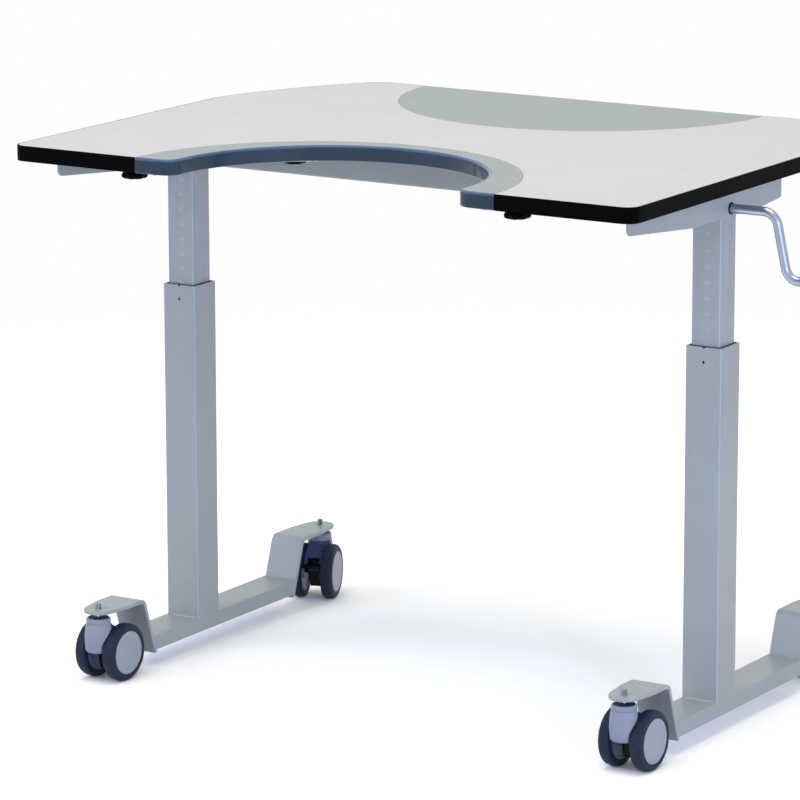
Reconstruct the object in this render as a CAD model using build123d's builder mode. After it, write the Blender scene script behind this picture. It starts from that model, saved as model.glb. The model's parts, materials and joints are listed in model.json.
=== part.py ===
from build123d import *
import os
from math import cos, radians, sin, tan

# Treatment table with a body cut-out, two telescopic columns and a hand crank.
# X runs along the width, Y from the user to the back, Z up, and the floor is at zero.
# Lengths are in millimetres, angles in degrees.

os.makedirs("parts", exist_ok=True)

# Whole table
table_height = 720
raise_travel = 160
lower_travel = 140
column_spacing = 785
overrun = 5
fit_gap = 0.05
loose_gap = 0.3

# Board and its edge band
board_width = 900
board_front = 312
board_back = 388
board_thickness = 20
band_thickness = 2
front_corner_radius = 18
side_run = 464
side_blend_radius = 60
side_bulge = 15
back_run = 333
back_corner_radius = 40

# Inserts in the board
insert_radius = 260
insert_band = 56.5
cutout_depth = 26.5
cutout_corner_radius = 23
insert_rounding = 4
insert_edge_rounding = 2
skin_thickness = 1
skin_margin = 0.5
skin_gap = 0.1

# Lugs, screws and knobs under the inserts
lug_thickness = 3
lug_recess = 2
lug_length = 62
lug_width = 64
lug_corner_radius = 8
front_lug_width = 24
lug_angles = (5, 53, 127, 175)
rear_lug_angles = (-52, -128)
lug_screw_inset = 11
lug_screw_spread = 15
screw_shank_diameter = 4
screw_head_diameter = 8
screw_head_height = 2.2
screw_depth = 13
knob_inset = 12
knob_lobes = 7
knob_diameter = 34
knob_lobe_radius = 4
knob_scallop_radius = 3.5
knob_height = 8
knob_face_diameter = 21
knob_face_depth = 4
knob_neck_diameter = 22
knob_neck_height = 2
knob_stud_diameter = 8
knob_stud_length = 14

# Arms and cross beam
arm_sheet = 3
arm_front = 261.5
arm_back = 135
arm_drop = 40
arm_front_drop = 24.5
arm_back_drop = 36
arm_flat_front = 97
arm_flat_back = 87
arm_front_rounding = 8
arm_back_rounding = 3
arm_fold_radius = 2.4
arm_screw_places = (-236, -128, 58, 112)
beam_height = 40
beam_depth = 40
beam_wall = 2.5
beam_corner_radius = 3

# Telescopic columns
inner_tube_size = 40
inner_tube_wall = 2
inner_tube_radius = 2.2
outer_tube_wall = 3
outer_tube_radius = 2.2
tube_overlap = 90
lowest_gap = 23
guide_length = 60
guide_wall = 1.75
guide_clearance = 0.2
guide_lip = 0.6
pin_hole_diameter = 4
pin_hole_drop = 19
notch_diameter = 4

# Lifting gear
shaft_diameter = 12
shaft_drop = 50
shaft_tail = 17
journal_diameter = 12
journal_play = 0.075
gear_radius = 12
gear_face = 5
gear_back = 5.2
gear_relief = 0.25
gear_teeth = 16
tooth_groove = 1
block_height = 20
block_upright = 4.3
block_clearance = 0.2
shaft_opening_diameter = 20
bush_diameter = 14
bush_flange_diameter = 15.2
bush_flange = 0.8
spindle_diameter = 16
nut_length = 22
nut_tube_diameter = 28
nut_tube_bore = 18
nut_clearance = 0.075
spindle_gap = 6

# Crank
crank_joint_inset = 10
crank_spigot_diameter = 7
crank_spigot_length = 14
crank_reach = 84.5
crank_lean = 18
crank_radius = 83
crank_bend_radius = 20
grip_start = 26
grip_length = 88
grip_diameter = 21
grip_bulge = 1.5
grip_end_rounding = 3
collar_diameter = 16
collar_width = 2
end_head_diameter = 17
end_head_width = 4

# Feet
foot_bottom = 24
foot_height = 20
foot_wall = 2
foot_front = 122
foot_back = 207
bracket_bottom = 20
bracket_sheet = 5
bracket_lean = 18.5
bracket_bend_radius = 12
tip_radius = 20.5
tip_setback = 2.5
tip_taper = 35

# Casters
front_stem = 220
back_stem = 317
caster_height = 94
stem_diameter = 8
stem_end = 7
stem_hex = 13
stem_hex_height = 7.5
stem_depth = 27
stem_play = 0.1
cap_diameter = 32
cap_height = 6.3
cap_rounding = 2
cap_rim = 2.4
cap_dish = 1
groove_depth = 0.6
groove_width = 0.8
barrel_top_diameter = 32.4
barrel_foot_diameter = 35
barrel_swell = 1.6
barrel_bottom = 41
barrel_rounding = 4.5
wheel_radius = 38
wheel_width = 16.5
wheel_inner_face = 14.5
wheel_clearance = 1.2
caster_trail = 24
tyre_bore_radius = 29
tyre_shoulder = 5.5
tyre_inner_shoulder = 3
axle_diameter = 8
axle_inset = 4
hub_dish = 1
hub_dish_width = 3
hood_width = 25
hood_neck_radius = 10
hood_radius = 12
hood_back = 27
hood_height = 57
web_width = 16
web_axle_radius = 15
keel_radius = 8
keel_inset = 5
keel_drop = 16
pivot_back = 36
pivot_height = 52
pivot_radius = 6
pivot_pin_diameter = 4
pedal_boss_radius = 5
pedal_width = 16
paddle_width = 27
paddle_length = 9
paddle_start = 6.5
paddle_thickness = 4
pedal_side_gap = 0.4
pedal_slot_radius = 6.4
swivel_front_left = -1.5
swivel_front_right = -1
swivel_back_left = 199
swivel_back_right = 171

# Places that follow from the sizes above
board_bottom = table_height - board_thickness
half_spacing = column_spacing / 2
arm_bottom = board_bottom - arm_drop
inner_tube_top = board_bottom - arm_sheet
outer_tube_inside = inner_tube_size + 2 * (guide_clearance + guide_wall + fit_gap)
outer_tube_size = outer_tube_inside + 2 * outer_tube_wall
outer_tube_top = arm_bottom - lower_travel - lowest_gap
inner_tube_bottom = outer_tube_top - raise_travel - tube_overlap
shaft_height = table_height - shaft_drop
foot_top = foot_bottom + foot_height
gear_seat = shaft_height - gear_radius - gear_back
block_bottom = gear_seat - loose_gap - block_height
spindle_bottom = foot_top + lower_travel + spindle_gap
nut_top = spindle_bottom + raise_travel + nut_length
seam_radius = insert_radius + loose_gap
cutout_radius = insert_radius - insert_band
lug_centre = insert_radius
lug_underside = board_bottom + lug_recess - lug_thickness
knob_circle = lug_centre + lug_length / 2 - knob_inset
crank_end = grip_start + grip_length + end_head_width + fit_gap * 2
right_edge = half_spacing + crank_reach + crank_lean + crank_end
centre_x = (right_edge - board_width / 2) / 2
centre_y = (board_back - board_front) / 2
dish_floor = caster_height - stem_hex_height - loose_gap
cap_top = dish_floor + cap_dish


def write(part, name):
    """Set a finished piece into the table's frame and write it under its name."""
    placed = part.moved(Location((-centre_x, -centre_y, 0)))
    placed.label = name
    export_step(placed, f"parts/{name}.step")


def polar_point(radius, angle, centre):
    """Point on a circle round a centre on the Y axis."""
    return (radius * cos(radians(angle)), centre + radius * sin(radians(angle)))


def square_ring(outside, wall, corner):
    """Square tube section with rounded corners."""
    RectangleRounded(outside, outside, corner)
    inside = outside - 2 * wall
    RectangleRounded(inside, inside, max(corner - wall, wall / 2), mode=Mode.SUBTRACT)


# Board
def board_outline():
    """Outer outline of the table top: straight front, sides drawn in towards the back."""
    with BuildSketch() as outline:
        with BuildLine():
            side_end = (board_width / 2, side_run - board_front)
            back_end = (back_run, board_back)
            Polyline((0, -board_front), (board_width / 2, -board_front), side_end)
            SagittaArc(side_end, back_end, -side_bulge)
            Line(back_end, (0, board_back))
            mirror(about=Plane.YZ)
        make_face()
        corners = outline.vertices().filter_by(lambda v: abs(v.X) > board_width / 4)
        fillet(corners.group_by(Axis.Y)[0], radius=front_corner_radius)
        corners = outline.vertices().filter_by(lambda v: abs(v.Y - side_end[1]) < side_bulge)
        fillet(corners, radius=side_blend_radius)
        corners = outline.vertices().filter_by(lambda v: abs(v.X) > back_run / 2)
        fillet(corners.group_by(Axis.Y)[-1], radius=back_corner_radius)
    return outline.sketch


outline = board_outline()
front_lug_points = [(a, -board_front) for a in lug_angles]
rear_lug_points = [(a, board_back) for a in rear_lug_angles]
knob_points = [polar_point(knob_circle, a, -board_front) for a in lug_angles]


def lug_size(angle):
    """Width of the lug at an angle: the ones beside the front edge are narrower."""
    beside_front = abs(sin(radians(angle))) < sin(radians(lug_angles[1])) / 2
    return front_lug_width if beside_front else lug_width


def lug_screw_points(angle, centre):
    """Screw places of one lug: beside the knob on the insert, or at both ends."""
    spread = min(lug_screw_spread, (lug_size(angle) - screw_head_diameter) / 2 - loose_gap)
    inner = -(lug_length / 2 - lug_screw_inset)
    rows = [inner] if centre < 0 else [inner, -inner]
    points = []
    for row in rows:
        for across in (-spread, spread):
            x, y = polar_point(lug_centre + row, angle, centre)
            points.append((x - across * sin(radians(angle)), y + across * cos(radians(angle))))
    return points


lug_screws = []
for angle, centre in front_lug_points + rear_lug_points:
    lug_screws += lug_screw_points(angle, centre)
arm_screws = [(side * half_spacing, y) for side in (-1, 1) for y in arm_screw_places]


def lug_faces(grow):
    """Outlines of all lugs, seen from above, each side moved out by an amount."""
    with BuildSketch() as faces:
        for angle, centre in front_lug_points + rear_lug_points:
            place = polar_point(lug_centre, angle, centre)
            with Locations(Location((place[0], place[1], 0), (0, 0, angle))):
                RectangleRounded(lug_length + 2 * grow, lug_size(angle) + 2 * grow, lug_corner_radius)
    return faces.sketch


# Everything that is cut into the underside of the board and of its inserts
lug_seats = lug_faces(loose_gap)
with BuildPart() as underside_cuts:
    with BuildSketch(Plane.XY.offset(board_bottom)):
        add(lug_seats)
    extrude(amount=lug_recess)
    with BuildSketch(Plane.XY.offset(board_bottom)):
        with Locations(lug_screws + arm_screws):
            Circle(screw_shank_diameter / 2 + fit_gap)
    extrude(amount=screw_depth)
    with BuildSketch(Plane.XY.offset(board_bottom)):
        with Locations(knob_points):
            Circle(knob_stud_diameter / 2 + loose_gap)
    extrude(amount=knob_stud_length)


with BuildPart() as board:
    with BuildSketch(Plane.XY.offset(board_bottom)):
        add(outline)
        offset(amount=-band_thickness, mode=Mode.REPLACE)
        with Locations((0, -board_front), (0, board_back)):
            Circle(seam_radius, mode=Mode.SUBTRACT)
    extrude(amount=board_thickness)
    add(underside_cuts.part, mode=Mode.SUBTRACT)
write(board.part, "board")

with BuildPart() as edge_band:
    with BuildSketch(Plane.XY.offset(board_bottom)) as band_face:
        add(outline)
        with BuildSketch(mode=Mode.PRIVATE) as inside:
            add(outline)
            offset(amount=-band_thickness, mode=Mode.REPLACE)
        add(inside.sketch, mode=Mode.SUBTRACT)
        with Locations((0, -board_front), (0, board_back)):
            Circle(seam_radius, mode=Mode.SUBTRACT)
    extrude(amount=board_thickness)
write(edge_band.part, "edge_band")


# Inserts
with BuildSketch() as beyond_edge:
    Rectangle(board_width, board_width, align=(Align.CENTER, Align.MIN))
half_plane = beyond_edge.sketch


def front_insert_plan(seam_inset, wall_inset):
    """Horseshoe round the body cut-out, drawn in from the seam and from the free wall."""
    front = wall_inset - board_front
    with BuildSketch() as plan:
        with Locations((0, -board_front)):
            Circle(insert_radius - seam_inset)
        with Locations((0, front)):
            add(half_plane, rotation=180, mode=Mode.SUBTRACT)
        with Locations((0, cutout_depth - board_front)):
            Circle(cutout_radius + wall_inset, mode=Mode.SUBTRACT)
        corners = plan.vertices().group_by(Axis.Y)[0].sort_by(lambda v: abs(v.X))[:2]
        fillet(corners, radius=cutout_corner_radius - wall_inset)
    return plan.sketch


def rear_insert_plan(seam_inset, edge_inset):
    """Half disc on the back edge."""
    with BuildSketch() as plan:
        with Locations((0, board_back)):
            Circle(insert_radius - seam_inset)
        with Locations((0, board_back - edge_inset)):
            add(half_plane, mode=Mode.SUBTRACT)
    return plan.sketch


def is_free_edge(edge):
    """True for an edge that doesn't lie on the seam."""
    return edge.geom_type != GeomType.CIRCLE or abs(edge.radius - insert_radius) > loose_gap


skin_bottom = table_height - skin_thickness
skin_inset = insert_rounding + skin_margin

with BuildPart() as front_insert:
    with BuildSketch(Plane.XY.offset(board_bottom)):
        add(front_insert_plan(0, 0))
    extrude(amount=board_thickness)
    top_edges = front_insert.faces().sort_by(Axis.Z)[-1].edges()
    fillet(top_edges.filter_by(is_free_edge), radius=insert_rounding)
    low_edges = front_insert.faces().sort_by(Axis.Z)[0].edges()
    fillet(low_edges.filter_by(is_free_edge), radius=insert_edge_rounding)
    with BuildSketch(Plane.XY.offset(skin_bottom)):
        add(front_insert_plan(skin_margin, skin_inset))
    extrude(amount=skin_thickness, mode=Mode.SUBTRACT)
    add(underside_cuts.part, mode=Mode.SUBTRACT)
write(front_insert.part, "front_insert")

with BuildPart() as front_insert_skin:
    with BuildSketch(Plane.XY.offset(skin_bottom)):
        add(front_insert_plan(skin_margin + skin_gap, skin_inset + skin_gap))
    extrude(amount=skin_thickness)
write(front_insert_skin.part, "front_insert_skin")

with BuildPart() as rear_insert:
    with BuildSketch(Plane.XY.offset(board_bottom)):
        add(rear_insert_plan(0, 0))
    extrude(amount=board_thickness)
    back_edges = rear_insert.edges().filter_by(Axis.X).group_by(Axis.Y)[-1]
    fillet(back_edges, radius=insert_edge_rounding)
    with BuildSketch(Plane.XY.offset(skin_bottom)):
        add(rear_insert_plan(skin_margin, insert_edge_rounding + skin_margin))
    extrude(amount=skin_thickness, mode=Mode.SUBTRACT)
    add(underside_cuts.part, mode=Mode.SUBTRACT)
write(rear_insert.part, "rear_insert")

with BuildPart() as rear_insert_skin:
    with BuildSketch(Plane.XY.offset(skin_bottom)):
        add(rear_insert_plan(skin_margin + skin_gap, insert_edge_rounding + skin_margin + skin_gap))
    extrude(amount=skin_thickness)
write(rear_insert_skin.part, "rear_insert_skin")

# Lugs that bridge the seams, and the screws of the top
lug_plates = lug_faces(0)
with BuildPart() as insert_lugs:
    with BuildSketch(Plane.XY.offset(lug_underside)):
        add(lug_plates)
    extrude(amount=lug_thickness)
    with BuildSketch(Plane.XY.offset(lug_underside)):
        with Locations(lug_screws):
            Circle(screw_shank_diameter / 2 + loose_gap)
        with Locations(knob_points):
            Circle(knob_stud_diameter / 2 + loose_gap)
    extrude(amount=lug_thickness, mode=Mode.SUBTRACT)
write(insert_lugs.part, "insert_lugs")


def screws(points, seat_height):
    """Pan-head screws driven upwards, with their heads under a seat."""
    with BuildPart() as fasteners:
        with BuildSketch(Plane.XY.offset(seat_height - screw_head_height)):
            with Locations(points):
                Circle(screw_head_diameter / 2)
        extrude(amount=screw_head_height)
        with BuildSketch(Plane.XY.offset(seat_height)):
            with Locations(points):
                Circle(screw_shank_diameter / 2)
        extrude(amount=screw_depth)
    return fasteners.part


lug_fasteners = screws(lug_screws, lug_underside)
arm_fasteners = screws(arm_screws, inner_tube_top)
with BuildPart() as top_screws:
    add(lug_fasteners)
    add(arm_fasteners)
write(top_screws.part, "top_screws")

# Lobed knobs with their studs
knob_scallop_circle = knob_diameter / 2 + knob_scallop_radius / 4
knob_plane = Plane.XY.offset(lug_underside - knob_neck_height - knob_height)
for place, name in zip(knob_points, ("right_front", "right_back", "left_back", "left_front")):
    with BuildPart() as knob:
        with BuildSketch(knob_plane):
            Circle(knob_diameter / 2 - knob_lobe_radius / 2)
            with PolarLocations(knob_diameter / 2 - knob_lobe_radius, knob_lobes):
                Circle(knob_lobe_radius)
            with PolarLocations(knob_scallop_circle, knob_lobes, start_angle=180 / knob_lobes):
                Circle(knob_scallop_radius, mode=Mode.SUBTRACT)
        extrude(amount=knob_height)
        with BuildSketch(Plane.XZ):
            with BuildLine():
                Polyline(
                    (0, knob_plane.origin.Z),
                    (knob_face_diameter / 2, knob_plane.origin.Z),
                    (knob_diameter / 2, knob_plane.origin.Z + knob_face_depth),
                    (knob_diameter / 2, knob_plane.origin.Z + knob_height),
                    (0, knob_plane.origin.Z + knob_height),
                    close=True,
                )
            make_face()
        revolve(axis=Axis.Z, mode=Mode.INTERSECT)
        with BuildSketch(knob_plane.offset(knob_height)):
            Circle(knob_neck_diameter / 2)
        extrude(amount=knob_neck_height)
        with BuildSketch(knob_plane.offset(knob_height)):
            Circle(knob_stud_diameter / 2)
        extrude(amount=knob_neck_height + lug_thickness + knob_stud_length - lug_recess - 2 * loose_gap)
    write(knob.part.moved(Location((place[0], place[1], 0))), f"{name}_knob")


# Arms under the board
def arm(side, has_crank):
    """Folded sheet arm: an upright outside the column and a flange under the board."""
    face_x = half_spacing + inner_tube_size / 2
    with BuildPart() as piece:
        with BuildSketch(Plane.YZ.offset(side * face_x)) as upright:
            with BuildLine():
                Polyline(
                    (-arm_front, board_bottom),
                    (-arm_front, board_bottom - arm_front_drop),
                    (-arm_flat_front, arm_bottom),
                    (arm_flat_back, arm_bottom),
                    (arm_back, board_bottom - arm_back_drop),
                    (arm_back, board_bottom),
                    close=True,
                )
            make_face()
            tip = upright.vertices().group_by(Axis.X)[0].sort_by(Axis.Y)[0]
            fillet(tip, radius=arm_front_rounding)
            heel = upright.vertices().group_by(Axis.X)[-1].sort_by(Axis.Y)[0]
            fillet(heel, radius=arm_back_rounding)
        extrude(amount=side * arm_sheet)
        top_edges = piece.edges().filter_by(Axis.Y).group_by(Axis.Z)[-1]
        fillet(top_edges.sort_by(lambda e: -abs(e.center().X))[0], radius=arm_fold_radius)
        flange_centre = (side * half_spacing, (arm_back - arm_front) / 2)
        with BuildSketch(Plane.XY.offset(inner_tube_top)):
            with Locations(flange_centre):
                Rectangle(inner_tube_size, arm_front + arm_back)
            with Locations([p for p in arm_screws if p[0] * side > 0]):
                Circle(screw_shank_diameter / 2 + loose_gap, mode=Mode.SUBTRACT)
        extrude(amount=arm_sheet)
        if has_crank:
            with BuildSketch(Plane.YZ.offset(face_x - overrun)):
                with Locations((0, shaft_height)):
                    Circle(bush_diameter / 2 + fit_gap)
            extrude(amount=arm_sheet + 2 * overrun, mode=Mode.SUBTRACT)
    return piece.part


write(arm(-1, False), "left_arm")
write(arm(1, True), "right_arm")

with BuildPart() as cross_beam:
    beam_length = column_spacing - inner_tube_size
    beam_middle = board_bottom - beam_height / 2
    with BuildSketch(Plane.YZ.offset(-beam_length / 2)):
        with Locations((0, beam_middle)):
            RectangleRounded(beam_depth, beam_height, beam_corner_radius)
            RectangleRounded(
                beam_depth - 2 * beam_wall,
                beam_height - 2 * beam_wall,
                beam_corner_radius - beam_wall / 2,
                mode=Mode.SUBTRACT,
            )
    extrude(amount=beam_length)
write(cross_beam.part, "cross_beam")


# Columns
def inner_tube(side, has_crank):
    """Square tube that slides in the outer tube, open for the shaft near its top."""
    with BuildPart() as tube:
        with BuildSketch(Plane.XY.offset(inner_tube_bottom)):
            square_ring(inner_tube_size, inner_tube_wall, inner_tube_radius)
        extrude(amount=inner_tube_top - inner_tube_bottom)
        with BuildSketch(Plane.YZ):
            with Locations((0, shaft_height)):
                Circle(shaft_opening_diameter / 2)
        extrude(amount=-side * inner_tube_size, mode=Mode.SUBTRACT)
        if has_crank:
            with BuildSketch(Plane.YZ):
                with Locations((0, shaft_height)):
                    Circle(bush_diameter / 2 + fit_gap)
            extrude(amount=inner_tube_size, mode=Mode.SUBTRACT)
    return tube.part.moved(Location((side * half_spacing, 0, 0)))


write(inner_tube(-1, False), "left_inner_tube")
write(inner_tube(1, True), "right_inner_tube")

block_size = inner_tube_size - 2 * inner_tube_wall - 2 * block_clearance


def bearing_block(has_crank):
    """Block in the top of a column: a base round the spindle and an upright for the shaft."""
    with BuildPart() as block:
        with BuildSketch(Plane.XY.offset(block_bottom)):
            RectangleRounded(block_size, block_size, inner_tube_wall)
            Circle(journal_diameter / 2 + journal_play, mode=Mode.SUBTRACT)
        extrude(amount=block_height)
        with BuildSketch(Plane.XY.offset(block_bottom)):
            with Locations((block_size / 2, 0)):
                Rectangle(block_upright, block_size - 2 * inner_tube_wall, align=(Align.MAX, Align.CENTER))
        extrude(amount=inner_tube_top - loose_gap - block_bottom)
        if has_crank:
            with BuildSketch(Plane.YZ.offset(block_size / 2)):
                with Locations((0, shaft_height)):
                    Circle(bush_diameter / 2)
            extrude(amount=block_clearance + inner_tube_wall + arm_sheet)
            with BuildSketch(Plane.YZ.offset(inner_tube_size / 2 + arm_sheet)):
                with Locations((0, shaft_height)):
                    Circle(bush_flange_diameter / 2)
            extrude(amount=bush_flange)
        with BuildSketch(Plane.YZ):
            with Locations((0, shaft_height)):
                Circle(shaft_diameter / 2 + journal_play)
        extrude(amount=inner_tube_size, mode=Mode.SUBTRACT)
    return block.part


bearing_blocks = Compound(
    children=[
        bearing_block(False).moved(Location((-half_spacing, 0, 0))),
        bearing_block(True).moved(Location((half_spacing, 0, 0))),
    ]
)
write(bearing_blocks, "bearing_blocks")


def outer_tube():
    """Outer column tube with the reading notch and the pin hole of its guide."""
    with BuildPart() as tube:
        with BuildSketch(Plane.XY.offset(foot_top)):
            square_ring(outer_tube_size, outer_tube_wall, outer_tube_radius)
        extrude(amount=outer_tube_top - foot_top)
        with BuildSketch(Plane.XZ):
            with Locations((0, outer_tube_top - pin_hole_drop)):
                Circle(pin_hole_diameter / 2)
            with Locations((0, outer_tube_top)):
                Circle(notch_diameter / 2)
        extrude(amount=outer_tube_size, mode=Mode.SUBTRACT)
    return tube.part


def column_guide():
    """Plastic sleeve between the two tubes."""
    with BuildPart() as guide:
        with BuildSketch(Plane.XY.offset(outer_tube_top - guide_length)):
            outside = outer_tube_inside - 2 * fit_gap
            inside = outside - 2 * guide_wall
            RectangleRounded(outside, outside, outer_tube_wall / 2)
            RectangleRounded(inside, inside, inner_tube_radius + guide_clearance, mode=Mode.SUBTRACT)
        extrude(amount=guide_length + guide_lip)
    return guide.part


def nut_tube():
    """Tube that stands on the foot and carries the spindle's nut at its top."""
    with BuildPart() as tube:
        with BuildSketch(Plane.XY.offset(foot_top)):
            Circle(nut_tube_diameter / 2)
            Circle(nut_tube_bore / 2, mode=Mode.SUBTRACT)
        extrude(amount=nut_top - nut_length - foot_top)
        with BuildSketch(Plane.XY.offset(nut_top - nut_length)):
            Circle(nut_tube_diameter / 2)
            Circle(spindle_diameter / 2 + nut_clearance, mode=Mode.SUBTRACT)
        extrude(amount=nut_length)
    return tube.part


def foot_end(reach, height):
    """Distance of the bracket's inner face from the column at a height."""
    return reach + (height - bracket_bottom) * tan(radians(bracket_lean))


def foot():
    """Flat tube under the column, cut to the slant of its brackets."""
    with BuildPart() as tube:
        with BuildSketch(Plane.YZ):
            with BuildLine():
                Polyline(
                    (-foot_end(foot_front, foot_bottom), foot_bottom),
                    (-foot_end(foot_front, foot_top), foot_top),
                    (foot_end(foot_back, foot_top), foot_top),
                    (foot_end(foot_back, foot_bottom), foot_bottom),
                    close=True,
                )
            make_face()
        extrude(amount=outer_tube_size / 2, both=True)
        with BuildSketch(Plane.XZ):
            with Locations((0, foot_bottom + foot_height / 2)):
                Rectangle(outer_tube_size - 2 * foot_wall, foot_height - 2 * foot_wall)
        extrude(amount=foot_end(foot_back, foot_top) + overrun, both=True, mode=Mode.SUBTRACT)
    return tube.part


def foot_bracket(reach, stem, side):
    """Folded strip from the foot's end up and out over a caster, drawn in to a round tip."""
    top = caster_height + bracket_sheet
    slant = bracket_sheet / cos(radians(bracket_lean))
    tip_centre = stem - tip_setback
    tip = tip_centre + tip_radius
    points = [
        (foot_end(reach, bracket_bottom), bracket_bottom),
        (foot_end(reach, top), top),
        (tip, top),
        (tip, caster_height),
        (foot_end(reach, caster_height) + slant, caster_height),
        (foot_end(reach, bracket_bottom) + slant, bracket_bottom),
    ]
    with BuildPart() as strip:
        with BuildSketch(Plane.YZ) as profile:
            with BuildLine():
                Polyline(*[(side * u, z) for u, z in points], close=True)
            make_face()
            by_reach = profile.vertices().sort_by(lambda v: abs(v.X - side * points[1][0]) + abs(v.Y - top))
            fillet(by_reach[0], radius=bracket_bend_radius)
            by_reach = profile.vertices().sort_by(
                lambda v: abs(v.X - side * points[4][0]) + abs(v.Y - caster_height)
            )
            fillet(by_reach[0], radius=bracket_bend_radius - bracket_sheet)
        extrude(amount=outer_tube_size / 2, both=True)
        with BuildSketch(Plane.XY):
            with Locations((0, side * tip_centre)):
                Circle(tip_radius)
            with Locations((0, side * (stem - tip_taper) / 2)):
                Rectangle(outer_tube_size, stem - tip_taper)
            make_hull()
        extrude(amount=top + overrun, mode=Mode.INTERSECT)
        with BuildSketch(Plane.XY.offset(caster_height)):
            with Locations((0, side * stem)):
                Circle(stem_diameter / 2 + fit_gap)
        extrude(amount=bracket_sheet + overrun, mode=Mode.SUBTRACT)
    return strip.part


def caster_stem():
    """Stud with a hexagon under the bracket and its end above it."""
    with BuildPart() as stem:
        with BuildSketch(Plane.XY.offset(cap_top - stem_depth)):
            Circle(stem_diameter / 2)
        extrude(amount=caster_height + bracket_sheet + stem_end - cap_top + stem_depth)
        with BuildSketch(Plane.XY.offset(caster_height - stem_hex_height)):
            RegularPolygon(stem_hex / 2, 6, major_radius=False)
        extrude(amount=stem_hex_height)
    return stem.part


stem_places = ((0, -front_stem), (0, back_stem))
for side, name in ((-1, "left"), (1, "right")):
    column = Location((side * half_spacing, 0, 0))
    write(outer_tube().moved(column), f"{name}_outer_tube")
    write(column_guide().moved(column), f"{name}_column_guide")
    write(nut_tube().moved(column), f"{name}_nut_tube")
    write(foot().moved(column), f"{name}_foot")
    strips = [foot_bracket(foot_front, front_stem, -1), foot_bracket(foot_back, back_stem, 1)]
    write(Compound(children=[strip.moved(column) for strip in strips]), f"{name}_foot_brackets")
    stems = [caster_stem().moved(column * Location((x, y, 0))) for x, y in stem_places]
    write(Compound(children=stems), f"{name}_caster_stems")


# Lifting gear
def bevel_gear(plane):
    """Mitre gear round the plane's normal, its back on the plane, with shallow tooth grooves."""
    back = gear_radius - gear_relief
    with BuildPart() as gear:
        with BuildSketch(plane):
            Circle(back)
        extrude(amount=gear_back)
        with BuildSketch(plane.offset(gear_back)):
            Circle(back)
        with BuildSketch(plane.offset(gear_back + gear_face)):
            Circle(back - gear_face)
        loft()
        with BuildSketch(plane):
            with PolarLocations(back, gear_teeth):
                Rectangle(tooth_groove, tooth_groove * 2)
        extrude(amount=gear_back + gear_face, mode=Mode.SUBTRACT)
    return gear.part


def spindle():
    """Lifting spindle that hangs from its bearing block, with a mitre gear on top."""
    shoulder = block_bottom - loose_gap
    gear = bevel_gear(Plane.XY.offset(gear_seat))
    with BuildPart() as screw:
        with BuildSketch(Plane.XY.offset(spindle_bottom)):
            Circle(spindle_diameter / 2)
        extrude(amount=shoulder - spindle_bottom)
        chamfer(screw.edges().group_by(Axis.Z)[0], length=spindle_diameter / 10)
        with BuildSketch(Plane.XY.offset(shoulder)):
            Circle(journal_diameter / 2)
        extrude(amount=block_height + 2 * loose_gap)
        add(gear)
    return screw.part


for side, name in ((-1, "left"), (1, "right")):
    write(spindle().moved(Location((side * half_spacing, 0, 0))), f"{name}_spindle")

joint_x = half_spacing + crank_joint_inset

shaft_gears = []
for side in (-1, 1):
    gear_x = side * half_spacing - gear_radius - gear_back
    shaft_gears.append(bevel_gear(Plane(origin=(gear_x, 0, shaft_height), x_dir=(0, 1, 0), z_dir=(1, 0, 0))))

with BuildPart() as cross_shaft:
    with BuildSketch(Plane.YZ.offset(-half_spacing - shaft_tail)):
        with Locations((0, shaft_height)):
            Circle(shaft_diameter / 2)
    extrude(amount=joint_x + half_spacing + shaft_tail)
    add(shaft_gears)
    with BuildSketch(Plane.YZ.offset(joint_x)):
        with Locations((0, shaft_height)):
            Circle(crank_spigot_diameter / 2 + fit_gap)
    extrude(amount=-crank_spigot_length - loose_gap, mode=Mode.SUBTRACT)
write(cross_shaft.part, "cross_shaft")

# Crank: out of the arm, down, and out again to the grip
bend_x = half_spacing + crank_reach
grip_x = bend_x + crank_lean
grip_height = shaft_height - crank_radius

with BuildPart() as crank_rod:
    with BuildLine():
        FilletPolyline(
            (joint_x, 0, shaft_height),
            (bend_x, 0, shaft_height),
            (grip_x, 0, grip_height),
            (right_edge - end_head_width, 0, grip_height),
            radius=crank_bend_radius,
        )
    with BuildSketch(Plane(origin=(joint_x, 0, shaft_height), z_dir=(1, 0, 0))):
        Circle(shaft_diameter / 2)
    sweep()
    with BuildSketch(Plane(origin=(joint_x, 0, shaft_height), z_dir=(-1, 0, 0))):
        Circle(crank_spigot_diameter / 2)
    extrude(amount=crank_spigot_length)
    with BuildSketch(Plane.YZ.offset(grip_x + grip_start - collar_width)):
        with Locations((0, grip_height)):
            Circle(collar_diameter / 2)
    extrude(amount=collar_width)
    with BuildSketch(Plane.YZ.offset(right_edge - end_head_width)):
        with Locations((0, grip_height)):
            Circle(end_head_diameter / 2)
    extrude(amount=end_head_width)
write(crank_rod.part, "crank_rod")

with BuildPart() as crank_grip:
    grip_end = grip_length
    with BuildSketch(Plane.XZ) as grip_profile:
        with BuildLine():
            bore = shaft_diameter / 2 + journal_play
            rim = grip_diameter / 2
            Polyline((0, rim), (0, bore), (grip_end, bore), (grip_end, rim))
            SagittaArc((grip_end, rim), (0, rim), -grip_bulge)
        make_face()
    revolve(axis=Axis.X)
    rims = crank_grip.edges().filter_by(GeomType.CIRCLE).filter_by(lambda e: e.radius > grip_diameter / 3)
    fillet(rims, radius=min(grip_end_rounding, (rim - bore) / 2))
grip_place = Location((grip_x + grip_start + fit_gap, 0, grip_height))
write(crank_grip.part.moved(grip_place), "crank_grip")

# Casters, built with the stem on the Z axis and the wheels trailing towards +Y
wheel_middle = wheel_inner_face + wheel_width / 2
axle_end = wheel_inner_face + wheel_width - axle_inset
groove_top = cap_top - cap_height
barrel_top = groove_top - groove_width

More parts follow.
